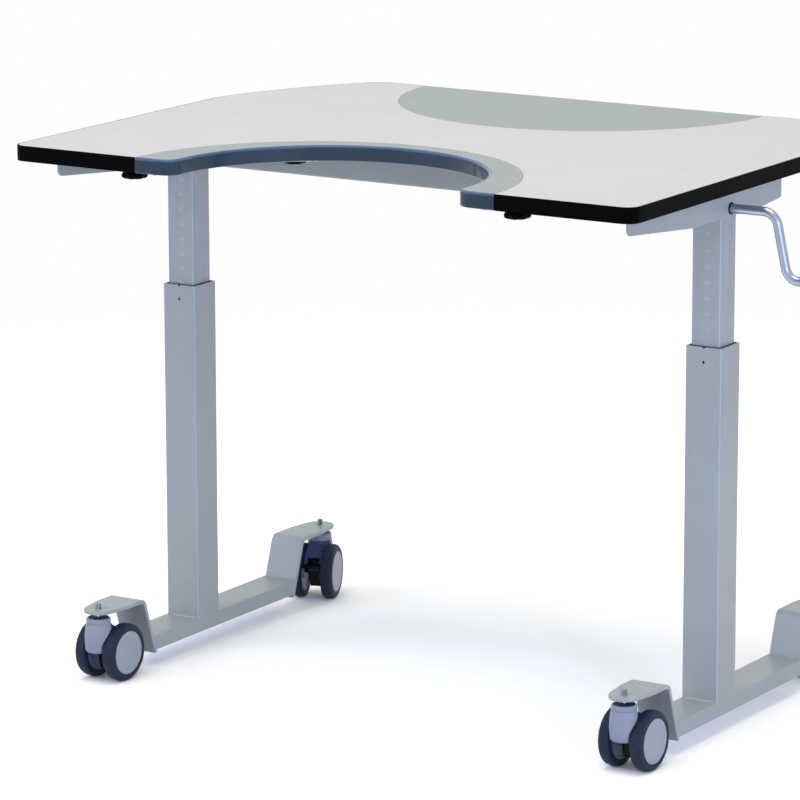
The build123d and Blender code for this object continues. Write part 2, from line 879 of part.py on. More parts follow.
with BuildPart() as housing:
    with BuildSketch(Plane.XZ):
        with BuildLine():
            dish_radius = cap_diameter / 2 - cap_rim
            groove_radius = cap_diameter / 2 - groove_depth
            barrel_start = (barrel_top_diameter / 2, barrel_top)
            barrel_end = (barrel_foot_diameter / 2, barrel_bottom)
            SagittaArc(barrel_start, barrel_end, barrel_swell)
            Polyline(
                barrel_end,
                (0, barrel_bottom),
                (0, dish_floor),
                (dish_radius, dish_floor),
                (dish_radius, cap_top),
                (cap_diameter / 2, cap_top),
                (cap_diameter / 2, groove_top),
                (groove_radius, groove_top),
                (groove_radius, barrel_top),
                barrel_start,
            )
        make_face()
    revolve(axis=Axis.Z)
    rim = housing.edges().filter_by(GeomType.CIRCLE).group_by(Axis.Z)[0]
    fillet(rim, radius=barrel_rounding)
    rim = housing.edges().filter_by(GeomType.CIRCLE).group_by(Axis.Z)[-1].sort_by(SortBy.RADIUS)[-1]
    fillet(rim, radius=cap_rounding)
    for side in (-1, 1):
        with BuildSketch(Plane.YZ.offset(side * hood_width / 2)):
            with Locations((caster_trail, wheel_radius)):
                Circle(wheel_radius + wheel_clearance)
        extrude(amount=side * (axle_end + overrun), mode=Mode.SUBTRACT)
    with BuildSketch(Plane.YZ.offset(-hood_width / 2)):
        with Locations(
            (0, barrel_bottom + barrel_rounding + hood_neck_radius),
            (0, barrel_top - hood_neck_radius),
        ):
            Circle(hood_neck_radius)
        with Locations((hood_back, hood_height)):
            Circle(hood_radius)
        make_hull()
    extrude(amount=hood_width)
    with BuildSketch(Plane.YZ.offset(-hood_width / 2)):
        with Locations((hood_back, hood_height), (pivot_back, pivot_height)):
            Circle(pivot_radius)
        make_hull()
    extrude(amount=hood_width)
    with BuildSketch(Plane.YZ.offset(-web_width / 2)):
        with Locations((caster_trail, wheel_radius)):
            Circle(web_axle_radius)
        with Locations((caster_trail - keel_inset, wheel_radius - keel_drop)):
            Circle(keel_radius)
        make_hull()
    extrude(amount=web_width)
    with BuildSketch(Plane.YZ.offset(-pedal_width / 2 - pedal_side_gap)):
        with Locations((pivot_back, pivot_height)):
            Circle(pedal_slot_radius)
            Rectangle(
                pedal_slot_radius + overrun,
                2 * pedal_slot_radius + overrun,
                align=(Align.MIN, Align.CENTER),
            )
    extrude(amount=pedal_width + 2 * pedal_side_gap, mode=Mode.SUBTRACT)
    with BuildSketch(Plane.YZ.offset(-hood_width / 2)):
        with Locations((pivot_back, pivot_height)):
            Circle(pivot_pin_diameter / 2)
    extrude(amount=hood_width)
    with BuildSketch(Plane.YZ.offset(-axle_end)):
        with Locations((caster_trail, wheel_radius)):
            Circle(axle_diameter / 2)
    extrude(amount=2 * axle_end)
    with BuildSketch(Plane.XY.offset(cap_top - stem_depth - loose_gap)):
        Circle(stem_diameter / 2 + stem_play)
    extrude(amount=stem_depth + overrun, mode=Mode.SUBTRACT)

with BuildPart() as pedal:
    with BuildSketch(Plane.YZ.offset(-pedal_width / 2)):
        with Locations((pivot_back, pivot_height)):
            Circle(pedal_boss_radius)
        with Locations((pivot_back, pivot_height - pedal_boss_radius)):
            Rectangle(paddle_start + fit_gap, paddle_thickness, align=(Align.MIN, Align.MIN))
    extrude(amount=pedal_width)
    with BuildSketch(Plane.YZ.offset(-paddle_width / 2)) as paddle_profile:
        with Locations((pivot_back + paddle_start, pivot_height - pedal_boss_radius)):
            Rectangle(paddle_length, paddle_thickness, align=(Align.MIN, Align.MIN))
        fillet(paddle_profile.vertices().group_by(Axis.X)[-1], radius=paddle_thickness / 3)
    extrude(amount=paddle_width)
    with BuildSketch(Plane.YZ.offset(-pedal_width / 2)):
        with Locations((pivot_back, pivot_height)):
            Circle(pivot_pin_diameter / 2 + fit_gap)
    extrude(amount=pedal_width, mode=Mode.SUBTRACT)

wheel_axis = Axis((0, 0, 0), (1, 0, 0))

with BuildPart() as tyre:
    with BuildSketch(Plane.XY):
        with Locations((wheel_middle, (tyre_bore_radius + wheel_radius) / 2)):
            Rectangle(wheel_width, wheel_radius - tyre_bore_radius)
    revolve(axis=wheel_axis)
    rims = tyre.edges().filter_by(GeomType.CIRCLE).filter_by(lambda e: e.radius > wheel_radius - loose_gap)
    fillet(rims.sort_by(Axis.X)[-1], radius=tyre_shoulder)
    rims = tyre.edges().filter_by(GeomType.CIRCLE).filter_by(lambda e: e.radius > wheel_radius - loose_gap)
    fillet(rims.sort_by(Axis.X)[0], radius=tyre_inner_shoulder)

with BuildPart() as hub:
    with BuildSketch(Plane.XY):
        with BuildLine():
            hub_radius = tyre_bore_radius - fit_gap
            inner_x = wheel_inner_face + hub_dish
            outer_x = wheel_inner_face + wheel_width - hub_dish
            bore_radius = axle_diameter / 2 + fit_gap
            bore_end = axle_end + loose_gap
            Polyline(
                (inner_x, bore_radius),
                (inner_x, hub_radius),
                (outer_x, hub_radius),
                (outer_x + hub_dish, hub_radius - hub_dish_width),
                (outer_x + hub_dish, 0),
                (bore_end, 0),
                (bore_end, bore_radius),
                close=True,
            )
        make_face()
    revolve(axis=wheel_axis)

caster_places = (
    ("front_left", -half_spacing, -front_stem, swivel_front_left),
    ("front_right", half_spacing, -front_stem, swivel_front_right),
    ("back_left", -half_spacing, back_stem, swivel_back_left),
    ("back_right", half_spacing, back_stem, swivel_back_right),
)
axle_place = Location((0, caster_trail, wheel_radius))
turned = Location((0, 0, 0), (0, 0, 180))
for name, x, y, swivel in caster_places:
    stand = Location((x, y, 0), (0, 0, swivel))
    write(housing.part.moved(stand), f"{name}_caster_housing")
    write(pedal.part.moved(stand), f"{name}_brake_pedal")
    for wheel_side, wheel_turn in (("outer", Location()), ("inner", turned)):
        wheel_place = stand * axle_place * wheel_turn
        write(tyre.part.moved(wheel_place), f"{name}_{wheel_side}_tyre")
        write(hub.part.moved(wheel_place), f"{name}_{wheel_side}_hub")
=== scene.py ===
"""Portrait of a height-adjustable treatment table with a body cut-out.

The table has a grey laminate top with two painted inserts, two telescopic
columns on casters, and a hand crank that raises and lowers it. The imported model
holds every rigid piece in its place. This file gives each piece its finish,
rounds the edges that catch the light, and adds the forms that show up close:
hand knobs, screws, weld seams, threaded studs, seals, tyres, wheel discs, the
grip and the printed height scale.

Names that end in _mm hold millimetres, and names that end in _share hold parts
of a whole. Other lengths are in metres, in the frame of the model.
"""

from __future__ import annotations

import json
import logging
import math
from collections.abc import Iterable, Sequence
from dataclasses import dataclass, replace
from enum import Enum
from typing import Any

import bmesh
import bpy
from mathutils import Matrix, Vector

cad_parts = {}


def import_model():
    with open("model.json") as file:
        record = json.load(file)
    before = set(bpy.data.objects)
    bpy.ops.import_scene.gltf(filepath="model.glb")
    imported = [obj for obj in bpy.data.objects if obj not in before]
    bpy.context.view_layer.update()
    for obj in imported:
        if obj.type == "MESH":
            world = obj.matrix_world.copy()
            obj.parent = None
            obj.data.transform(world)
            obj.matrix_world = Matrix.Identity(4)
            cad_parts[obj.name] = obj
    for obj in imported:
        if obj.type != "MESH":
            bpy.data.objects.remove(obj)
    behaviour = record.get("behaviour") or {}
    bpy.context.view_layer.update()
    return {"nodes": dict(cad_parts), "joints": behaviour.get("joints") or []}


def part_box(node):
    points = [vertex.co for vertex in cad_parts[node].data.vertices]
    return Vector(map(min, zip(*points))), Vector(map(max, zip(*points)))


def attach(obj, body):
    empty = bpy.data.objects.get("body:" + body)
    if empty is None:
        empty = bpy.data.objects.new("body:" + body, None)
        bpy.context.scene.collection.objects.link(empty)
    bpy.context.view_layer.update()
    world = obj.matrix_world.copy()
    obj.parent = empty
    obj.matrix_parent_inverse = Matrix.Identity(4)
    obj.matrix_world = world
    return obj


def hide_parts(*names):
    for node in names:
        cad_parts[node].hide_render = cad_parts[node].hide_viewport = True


LOG = logging.getLogger("treatment_table")
MM = 0.001
WHITE = (1.0, 1.0, 1.0, 1.0)
DRIFT_SHARES = (0.3, 0.7)
SMALLEST_RING_MM = 1e-9
WELD_CREASE_DEG = 60.0
TURNED_CREASE_DEG = 32.0
STUD_CREASE_DEG = 28.0
SCREW_CREASE_DEG = 25.0
RUBBER_CREASE_DEG = 40.0

Ring = list[Vector]
Profile = Sequence[tuple[float, float]]
Stops = tuple[tuple[float, tuple[float, float, float, float]], ...]
Tree = bpy.types.NodeTree
Socket = bpy.types.NodeSocket
Mesh = bmesh.types.BMesh


class Side(Enum):
    """The two columns, seen by the person who sits in the cut-out."""

    LEFT = "left"
    RIGHT = "right"

    @property
    def sign(self) -> int:
        """Which way along X the column stands from the middle."""
        return -1 if self is Side.LEFT else 1


class Corner(Enum):
    """The four casters."""

    FRONT_LEFT = "front_left"
    FRONT_RIGHT = "front_right"
    BACK_LEFT = "back_left"
    BACK_RIGHT = "back_right"


class Knob(Enum):
    """The four hand knobs that hold the front insert."""

    RIGHT_FRONT = "right_front_knob"
    RIGHT_BACK = "right_back_knob"
    LEFT_BACK = "left_back_knob"
    LEFT_FRONT = "left_front_knob"


class Slot(Enum):
    """The record's names for the finishes of pieces made here."""

    ZINC = "zinc"
    PAINT = "frame_paint"
    PLASTIC = "black_plastic"
    GRIP = "grip_plastic"
    TYRE = "tyre"
    HUB = "hub"


# Colour and nodes


def linear(colour: str) -> tuple[float, float, float, float]:
    """Turn an sRGB colour into linear light.

    Args:
        colour: six hexadecimal digits after a hash sign.

    Returns:
        Red, green, blue and an alpha of one.
    """
    parts = [int(colour[i : i + 2], 16) / 255 for i in (1, 3, 5)]
    red, green, blue = (c / 12.92 if c <= 0.04045 else ((c + 0.055) / 1.055) ** 2.4 for c in parts)
    return red, green, blue, 1.0


def per_metre(size_mm: float) -> float:
    """How often a feature of this size repeats in a metre."""
    return 1.0 / (size_mm * MM)


def drift_stops(shade: str, light: str) -> Stops:
    """Stops of a colour ramp that spreads two shades over a cloudy noise."""
    return tuple(zip(DRIFT_SHARES, (linear(shade), linear(light))))


def empty_tree(owner: bpy.types.Material | bpy.types.World) -> Tree:
    """Give a material or a world a node tree with nothing in it.

    Args:
        owner: the material or the world.

    Returns:
        The empty tree.
    """
    owner.use_nodes = True
    owner.node_tree.nodes.clear()
    return owner.node_tree


def add_node(
    tree: Tree,
    kind: str,
    settings: dict[str | int, Any] | None = None,
    links: dict[str | int, Socket] | None = None,
) -> bpy.types.Node:
    """Add a shader node with its settings and its links.

    Args:
        tree: the node tree.
        kind: the node's type.
        settings: values for the node's own options or its inputs; "stops" holds the
            places and colours of a colour ramp.
        links: the output socket that feeds each named input.

    Returns:
        The new node.
    """
    node = tree.nodes.new(kind)
    for name, value in (settings or {}).items():
        if name == "stops":
            ramp = node.color_ramp
            while len(ramp.elements) < len(value):
                ramp.elements.new(0.5)
            for element, (place, colour) in zip(ramp.elements, value):
                element.position = place
                element.color = colour
        elif isinstance(name, str) and hasattr(node, name):
            setattr(node, name, value)
        else:
            node.inputs[name].default_value = value
    for name, socket in (links or {}).items():
        tree.links.new(socket, node.inputs[name])
    return node


def tinted(
    tree: Tree,
    base: Socket,
    tint: str,
    value: Socket,
    span: tuple[float, float],
    most: float,
    soft: bool = False,
) -> Socket:
    """Take a colour towards another one where a value rises through a span.

    Args:
        tree: the material's node tree.
        base: colour below the span.
        tint: colour that it goes towards.
        value: what decides where.
        span: values where the change starts and ends.
        most: how far it goes at the span's end, one for all the way.
        soft: ease in and out of the change.

    Returns:
        The colour.
    """
    ease = "SMOOTHSTEP" if soft else "LINEAR"
    share = add_node(
        tree,
        "ShaderNodeMapRange",
        {"interpolation_type": ease, "From Min": span[0], "From Max": span[1], "To Max": most},
        {"Value": value},
    )
    settings = {"data_type": "RGBA", 7: linear(tint)}
    return add_node(tree, "ShaderNodeMix", settings, {0: share.outputs["Result"], 6: base}).outputs[2]


def lighter_corners(tree: Tree, base: Socket, corner: str, amount: float) -> Socket:
    """Paint a highlight on the rounded upright corners of a square tube, where the wall turns between two
    faces.

    Args:
        tree: the material's node tree.
        base: colour of the flat faces.
        corner: colour of the painted highlight on the corners.
        amount: how far the corners go towards it.

    Returns:
        The colour.
    """
    turning = (0.3, 0.62)
    facing = add_node(tree, "ShaderNodeTexCoord").outputs["Normal"]
    unsigned = add_node(tree, "ShaderNodeVectorMath", {"operation": "ABSOLUTE"}, {0: facing})
    parts = add_node(tree, "ShaderNodeSeparateXYZ", {}, {0: unsigned.outputs["Vector"]})
    both = add_node(
        tree, "ShaderNodeMath", {"operation": "MINIMUM"}, {0: parts.outputs["X"], 1: parts.outputs["Y"]}
    )
    return tinted(tree, base, corner, both.outputs[0], turning, amount, soft=True)


# Finishes


@dataclass(frozen=True)
class Finish:
    """A surface with two close shades, a range of gloss and a fine relief.

    Attributes:
        name: what the material is.
        shade: darker colour of its slow drift.
        light: lighter colour of its slow drift.
        gloss: lowest and highest roughness.
        metallic: one for bare metal.
        ior: refractive index, for anything but bare metal.
        drift_mm: size of the slow colour drift.
        grain_mm: size of the relief.
        depth_mm: height of the relief.
        coat: weight of a clear layer on top.
        coat_roughness: roughness of that layer.
        specular: strength of the mirror-like part, half for a plain dielectric.
    """

    name: str
    shade: str
    light: str
    gloss: tuple[float, float]
    metallic: float = 0.0
    ior: float = 1.5
    drift_mm: float = 90.0
    grain_mm: float = 1.2
    depth_mm: float = 0.02
    coat: float = 0.0
    coat_roughness: float = 0.1
    specular: float = 0.5

    def colour(self, tree: Tree, place: Socket) -> Socket:
        """Drift slowly between the two shades.

        Args:
            tree: the material's node tree.
            place: where each point lies, in metres.

        Returns:
            The colour.
        """
        drift = add_node(
            tree,
            "ShaderNodeTexNoise",
            {"Scale": per_metre(self.drift_mm), "Detail": 4.0, "Roughness": 0.6},
            {"Vector": place},
        )
        stops = {"stops": drift_stops(self.shade, self.light)}
        return add_node(tree, "ShaderNodeValToRGB", stops, {"Fac": drift.outputs[0]}).outputs["Color"]

    def relief(self, tree: Tree, place: Socket) -> Socket:
        """Raise an even fine grain.

        Args:
            tree: the material's node tree.
            place: where each point lies, in metres.

        Returns:
            A height from zero to one.
        """
        settings = {"Scale": per_metre(self.grain_mm), "Detail": 2.0}
        return add_node(tree, "ShaderNodeTexNoise", settings, {"Vector": place}).outputs[0]

    def constants(self) -> dict[str | int, Any]:
        """Values that are the same all over the surface.

        Returns:
            The shader's inputs by name.
        """
        values: dict[str | int, Any] = {"Metallic": self.metallic}
        if self.metallic < 1.0:
            values["IOR"] = self.ior
            values["Specular IOR Level"] = self.specular
        if self.coat:
            values["Coat Weight"] = self.coat
            values["Coat Roughness"] = self.coat_roughness
        return values

    def material(self) -> bpy.types.Material:
        """Build the finish.

        Returns:
            A material whose colour, roughness and relief come from its nodes.
        """
        made = bpy.data.materials.new(self.name)
        tree = empty_tree(made)
        place = add_node(tree, "ShaderNodeTexCoord").outputs["Object"]
        height = self.relief(tree, place)
        low, high = self.gloss
        gloss = add_node(tree, "ShaderNodeMapRange", {"To Min": low, "To Max": high}, {"Value": height})
        bump = add_node(
            tree, "ShaderNodeBump", {"Strength": 1.0, "Distance": self.depth_mm * MM}, {"Height": height}
        )
        shader = add_node(
            tree,
            "ShaderNodeBsdfPrincipled",
            self.constants(),
            {
                "Base Color": self.colour(tree, place),
                "Roughness": gloss.outputs["Result"],
                "Normal": bump.outputs["Normal"],
            },
        )
        add_node(tree, "ShaderNodeOutputMaterial", links={"Surface": shader.outputs["BSDF"]})
        made.diffuse_color = linear(self.light)
        return made


@dataclass(frozen=True)
class PowderCoat(Finish):
    """Baked powder paint: an orange-peel skin with pale flake in it."""

    flake_mm: float = 2.2
    flake: str = "#CDD4D4"
    flake_span: tuple[float, float] = (0.0, 1.0)
    flake_share: float = 0.16

    def colour(self, tree: Tree, place: Socket) -> Socket:
        """Scatter pale flake over the drift.

        Real flake is near 0.05 mm; it is drawn coarser so that it shows.

        Args:
            tree: the material's node tree.
            place: where each point lies, in metres.

        Returns:
            The colour.
        """
        base = super().colour(tree, place)
        settings = {"Scale": per_metre(self.flake_mm)}
        cells = add_node(tree, "ShaderNodeTexVoronoi", settings, {"Vector": place})
        return tinted(tree, base, self.flake, cells.outputs["Color"], self.flake_span, self.flake_share)


@dataclass(frozen=True)
class Turned(Finish):
    """Metal or plastic with fine lines along one axis, as left by a lathe, a die or a mould."""

    pitch_mm: float = 0.8
    stretch: tuple[float, float, float] = (0.05, 1.0, 1.0)

    def drawn(self, tree: Tree, place: Socket, size_mm: float, detail: float) -> Socket:
        """Noise that is stretched along one direction, so that it reads as drawn lines.

        Args:
            tree: the material's node tree.
            place: where each point lies, in metres.
            size_mm: distance between the lines.
            detail: how many finer lines there are between them.

        Returns:
            A value from zero to one.
        """
        along = add_node(tree, "ShaderNodeMapping", {"Scale": self.stretch}, {"Vector": place})
        settings = {"Scale": per_metre(size_mm), "Detail": detail}
        return add_node(tree, "ShaderNodeTexNoise", settings, {"Vector": along.outputs["Vector"]}).outputs[0]

    def relief(self, tree: Tree, place: Socket) -> Socket:
        """Stretch the grain along one direction."""
        return self.drawn(tree, place, self.pitch_mm, 3.0)


@dataclass(frozen=True)
class PaintedTube(PowderCoat):
    """The same paint on a square tube, with a painted highlight along the rounded corners."""

    # colour of the painted highlight on the rounded corners
    corner: str = "#BFD2F2"
    corner_share: float = 0.8

    def colour(self, tree: Tree, place: Socket) -> Socket:
        """Paint the highlight on the corners."""
        return lighter_corners(tree, super().colour(tree, place), self.corner, self.corner_share)


@dataclass(frozen=True)
class DrawnTube(Turned):
    """Painted drawn tube: upright streaks from the die, and a painted highlight on the corners."""

    # colour of the painted highlight on the rounded corners
    corner: str = "#BFD2F2"
    corner_share: float = 0.9
    streak: str = "#8F98AA"
    streak_mm: float = 5.0
    streak_span: tuple[float, float] = (0.45, 0.75)
    streak_share: float = 0.22

    def colour(self, tree: Tree, place: Socket) -> Socket:
        """Add the streaks to the drift, and paint the highlight on the corners.

        Args:
            tree: the material's node tree.
            place: where each point lies, in metres.

        Returns:
            The colour.
        """
        base = super().colour(tree, place)
        lines = self.drawn(tree, place, self.streak_mm, 2.0)
        streaked = tinted(tree, base, self.streak, lines, self.streak_span, self.streak_share)
        return lighter_corners(tree, streaked, self.corner, self.corner_share)


@dataclass(frozen=True)
class Pressed(Finish):
    """Sheet pressed against a textured plate: small smooth pearls with fine speckle between them."""

    speckle: str = "#CACACC"
    speckle_span: tuple[float, float] = (0.52, 0.68)
    speckle_share: float = 0.35
    speckle_to_grain: float = 1.7

    def relief(self, tree: Tree, place: Socket) -> Socket:
        """Press smooth pearls into the surface."""
        settings = {"feature": "SMOOTH_F1", "Scale": per_metre(self.grain_mm), "Smoothness": 0.6}
        return add_node(tree, "ShaderNodeTexVoronoi", settings, {"Vector": place}).outputs["Distance"]

    def colour(self, tree: Tree, place: Socket) -> Socket:
        """Add a faint speckle to the drift.

        Args:
            tree: the material's node tree.
            place: where each point lies, in metres.

        Returns:
            The colour.
        """
        base = super().colour(tree, place)
        settings = {"Scale": per_metre(self.grain_mm * self.speckle_to_grain), "Detail": 1.0}
        dots = add_node(tree, "ShaderNodeTexNoise", settings, {"Vector": place})
        return tinted(tree, base, self.speckle, dots.outputs[0], self.speckle_span, self.speckle_share)


@dataclass(frozen=True)
class Lacquer(Finish):
    """Sprayed lacquer, with a painted blue highlight along the rounded top edge."""

    # colour of the painted highlight on the rounded top edge
    rim: str = "#5C7CB0"
    rim_span: tuple[float, float] = (0.12, 0.6)
    rim_share: float = 0.5

    def colour(self, tree: Tree, place: Socket) -> Socket:
        """Paint a blue highlight where the surface rounds over to the top.

        Args:
            tree: the material's node tree.
            place: where each point lies, in metres.

        Returns:
            The colour.
        """
        facing = add_node(tree, "ShaderNodeTexCoord").outputs["Normal"]
        rise = add_node(tree, "ShaderNodeSeparateXYZ", {}, {0: facing}).outputs["Z"]
        base = super().colour(tree, place)
        return tinted(tree, base, self.rim, rise, self.rim_span, self.rim_share, soft=True)


@dataclass(frozen=True)
class RolledRubber(Finish):
    """Soft moulded tyre: matt, with pale dust where it has rolled."""

    dust: str = "#3E4656"
    dust_mm: float = 7.0
    dust_span: tuple[float, float] = (0.5, 0.8)
    dust_share: float = 0.5

    def colour(self, tree: Tree, place: Socket) -> Socket:
        """Lay thin patches of dust over the drift.

        Args:
            tree: the material's node tree.
            place: where each point lies, in metres.

        Returns:
            The colour.
        """
        base = super().colour(tree, place)
        settings = {"Scale": per_metre(self.dust_mm), "Detail": 6.0, "Roughness": 0.7}
        patches = add_node(tree, "ShaderNodeTexNoise", settings, {"Vector": place})
        return tinted(tree, base, self.dust, patches.outputs[0], self.dust_span, self.dust_share)


@dataclass(frozen=True)
class CasterNylon(Finish):
    """Caster body moulded in grey nylon, with painted shade: slate on the hood behind the barrel and black
    on the web between the wheels.

    Attributes:
        web: darker colour of the painted shade on the web.
        web_light: lighter colour of the painted shade on the web.
        parting_mm: height of the web's top.
        hood: colour of the painted shade on the hood behind the barrel.
        crown_mm: height where the grey crown begins.
        edge_mm: width of the change at the crown and the web.
        hood_edge_mm: width of the change at the hood.
        trail: direction in which the wheels trail, level and of length one.
        hood_from: where the hood begins along that direction, in metres.
    """

    # painted shade on the web between the wheels
    web: str = "#030304"
    web_light: str = "#07070A"
    parting_mm: float = 41.0
    # painted shade on the hood behind the barrel
    hood: str = "#4F6082"
    crown_mm: float = 78.6
    edge_mm: float = 0.3
    hood_edge_mm: float = 0.4
    trail: tuple[float, float, float] = (0.0, 1.0, 0.0)
    hood_from: float = 0.0

    def colour(self, tree: Tree, place: Socket) -> Socket:
        """Paint shade in slate on the hood behind the barrel, and in black on the web below it.

        Args:
            tree: the material's node tree.
            place: where each point lies, in metres.

        Returns:
            The colour.
        """
        height = add_node(tree, "ShaderNodeSeparateXYZ", {}, {"Vector": place}).outputs["Z"]
        trailing = {"operation": "DOT_PRODUCT", 1: self.trail}
        along = add_node(tree, "ShaderNodeVectorMath", trailing, {0: place})
        crown, parting, edge = self.crown_mm * MM, self.parting_mm * MM, self.edge_mm * MM
        spans = (
            (along.outputs["Value"], self.hood_from, self.hood_from + self.hood_edge_mm * MM),
            (height, crown, crown - edge),
            (height, parting - edge, parting),
        )
        behind, below_crown, above_web = (
            add_node(tree, "ShaderNodeMapRange", {"From Min": start, "From Max": end}, {"Value": value})
            for value, start, end in spans
        )
        # where the painted shade on the hood lies
        hood_shade_mask = add_node(
            tree,
            "ShaderNodeMath",
            {"operation": "MULTIPLY"},
            {0: behind.outputs["Result"], 1: below_crown.outputs["Result"]},
        )
        body = add_node(
            tree,
            "ShaderNodeMix",
            {"data_type": "RGBA", 7: linear(self.hood)},
            {0: hood_shade_mask.outputs[0], 6: super().colour(tree, place)},
        )
        settings = {"Scale": per_metre(self.drift_mm)}
        clouds = add_node(tree, "ShaderNodeTexNoise", settings, {"Vector": place})
        # painted shade on the web, in black
        black = add_node(
            tree,
            "ShaderNodeValToRGB",
            {"stops": drift_stops(self.web, self.web_light)},
            {"Fac": clouds.outputs[0]},
        )
        mix = add_node(
            tree,
            "ShaderNodeMix",
            {"data_type": "RGBA"},
            {0: above_web.outputs["Result"], 6: black.outputs["Color"], 7: body.outputs[2]},
        )
        return mix.outputs[2]


# Melamine laminate, pressed: an even pale grey with a faint pearl and a soft sheen.
LAMINATE = Pressed(
    "pressed_melamine_laminate", "#D2D2D2", "#D7D7D7", (0.4, 0.52),
    grain_mm=1.6, depth_mm=0.012, specular=0.3,
)
# ABS edge strip, extruded and trimmed: black and matt, so that its faces show no white of the room.
EDGE_STRIP = Turned(
    "extruded_black_abs", "#050505", "#090909", (0.42, 0.56), ior=1.54, depth_mm=0.01, specular=0.02
)
# Polyurethane lacquer, sprayed: slate blue with a satin gloss, and a painted blue highlight on the rounded
# edge.
LACQUER = Lacquer(
    "sprayed_polyurethane_lacquer", "#293D49", "#32495A", (0.24, 0.32),
    grain_mm=2.4, depth_mm=0.008, coat=0.4, coat_roughness=0.1, specular=0.1,
)
# The same lacquer flatted on top of the inserts: a matt grey-green face.
FLATTED = Pressed(
    "flatted_polyurethane_lacquer", "#9CA6A4", "#A2ADAB", (0.4, 0.52),
    grain_mm=1.3, depth_mm=0.01, speckle="#96A09F", specular=0.3,
)
# Polyester powder paint on steel, baked: silver grey, with orange peel and flake.
POWDER = PowderCoat(
    "baked_polyester_powder", "#AFB4B4", "#B7BEBC", (0.34, 0.48), metallic=0.12, depth_mm=0.03, specular=0.35
)
# The same paint on the outer tubes, with a painted highlight: a thin light line along its rounded corners.
TUBE_POWDER = PaintedTube(
    "baked_polyester_powder_on_tube", "#AFB4B4", "#B7BEBC", (0.34, 0.48),
    metallic=0.12, depth_mm=0.03, specular=0.35,
)
# Thin powder paint on drawn steel tube: faint upright draw lines show, and the corners carry a painted
# highlight.
DRAWN_TUBE = DrawnTube(
    "powder_painted_drawn_tube", "#AFB5B5", "#B9BFBF", (0.3, 0.44),
    metallic=0.16, drift_mm=60.0, depth_mm=0.012, specular=0.35, pitch_mm=1.4, stretch=(1.0, 1.0, 0.02),
)
# Zinc plate, bright dipped: cool, bright and slightly cloudy.
ZINC = Turned(
    "bright_zinc_plate", "#9EA6AC", "#C2C9CE", (0.18, 0.34), metallic=1.0, drift_mm=5.0, depth_mm=0.01
)
# The same plate on the studs' threads, with a painted dark reflection: a darker cool grey, with sharp small
# lights.
ZINC_WITH_PAINTED_REFLECTION = Turned(
    "zinc_plate_with_painted_reflection", "#74848C", "#8C9BA1", (0.16, 0.28), metallic=1.0, drift_mm=4.0, depth_mm=0.01
)
# Nickel on the studs' collars, electroplated: pale and warm.
NICKEL = Turned(
    "bright_nickel_plate", "#D4D8CE", "#E6E9E0", (0.2, 0.32), metallic=1.0, drift_mm=4.0, depth_mm=0.01
)
# Carbon steel, turned: grey, with drawn lines along the bar.
STEEL = Turned("turned_carbon_steel", "#8A8C8F", "#A2A4A6", (0.26, 0.4), metallic=1.0, depth_mm=0.01)
# Chrome plate over ground tube: cool satin metal.
CHROME = Turned("satin_chrome_plate", "#98A4B7", "#A6B1C4", (0.24, 0.34), metallic=1.0, depth_mm=0.006)
# Glass-filled nylon, moulded: black, with a fine spark-eroded grain.
BLACK_NYLON = Finish(
    "moulded_black_nylon", "#050507", "#0A0A10", (0.42, 0.58),
    ior=1.53, grain_mm=0.8, depth_mm=0.02, specular=0.03,
)
# Nylon for the caster bodies, moulded: cool satin grey, with painted shade in slate behind the barrel and in
# black on the web between the wheels.
GREY_NYLON = CasterNylon(
    "moulded_grey_nylon_with_painted_shade", "#A8AEBB", "#B1B7C4", (0.32, 0.44),
    ior=1.53, grain_mm=0.9, depth_mm=0.015, specular=0.14,
)
# Nylon for the brake pedals, moulded: near black with a blue cast.
PEDAL_NYLON = Finish(
    "moulded_blue_black_nylon", "#0D101A", "#151926", (0.3, 0.42), ior=1.53, grain_mm=0.9, specular=0.1
)
# Thermoplastic rubber, moulded: dark blue grey and matt, with dust from rolling.
TYRE_RUBBER = RolledRubber(
    "moulded_thermoplastic_rubber", "#162234", "#1D2A41", (0.5, 0.68), ior=1.52, depth_mm=0.03, specular=0.25
)
# Nitrile rubber, moulded: the dark slate seal in the dish on top of each caster.
SEAL_RUBBER = Finish(
    "moulded_nitrile_rubber", "#3A4152", "#454C5E", (0.5, 0.66),
    ior=1.52, drift_mm=12.0, grain_mm=0.8, specular=0.2,
)
# Polypropylene, moulded: a light grey disc with a fine grain.
HUB_PLASTIC = Finish(
    "moulded_grey_polypropylene", "#B5B9BF", "#BFC2C7", (0.4, 0.52), ior=1.49, grain_mm=1.4, specular=0.3
)
# The wheel's core behind that disc: the same plastic in slate blue.
CORE_PLASTIC = Finish(
    "moulded_slate_polypropylene", "#8391B0", "#8D9ABA", (0.38, 0.5), ior=1.49, grain_mm=1.4, specular=0.3
)
# Pad-printed ink: thin pale figures, a little cloudy.
SCALE_INK = Finish(
    "pad_printed_ink", "#CCD4D2", "#DEE5E2", (0.5, 0.6), drift_mm=1.5, grain_mm=0.7, specular=0.2
)


# Meshes


def turns(steps: int) -> list[float]:
    """Evenly spaced angles of one turn."""
    return [2 * math.pi * i / steps for i in range(steps)]


def point_at(radius: float, turn: float, height: float) -> Vector:
    """Point at a distance from Z and an angle round it."""
    return Vector((radius * math.cos(turn), radius * math.sin(turn), height))


def circle(radius: float, height: float, steps: int) -> Ring:
    """Points of a circle round Z, at a height."""
    return [point_at(radius, turn, height) for turn in turns(steps)]


def join(mesh: Mesh, rows: Sequence[Sequence[bmesh.types.BMVert]]) -> None:
    """Fill the bands between closed rows of vertices. Vertices that coincide leave a triangle.

    Args:
        mesh: mesh that gets the faces.
        rows: rows with as many vertices each.
    """
    for low, high in zip(rows, rows[1:]):
        for i in range(len(low)):
            j = (i + 1) % len(low)
            corners = list(dict.fromkeys((low[i], low[j], high[j], high[i])))
            if len(corners) > 2:
                mesh.faces.new(corners)


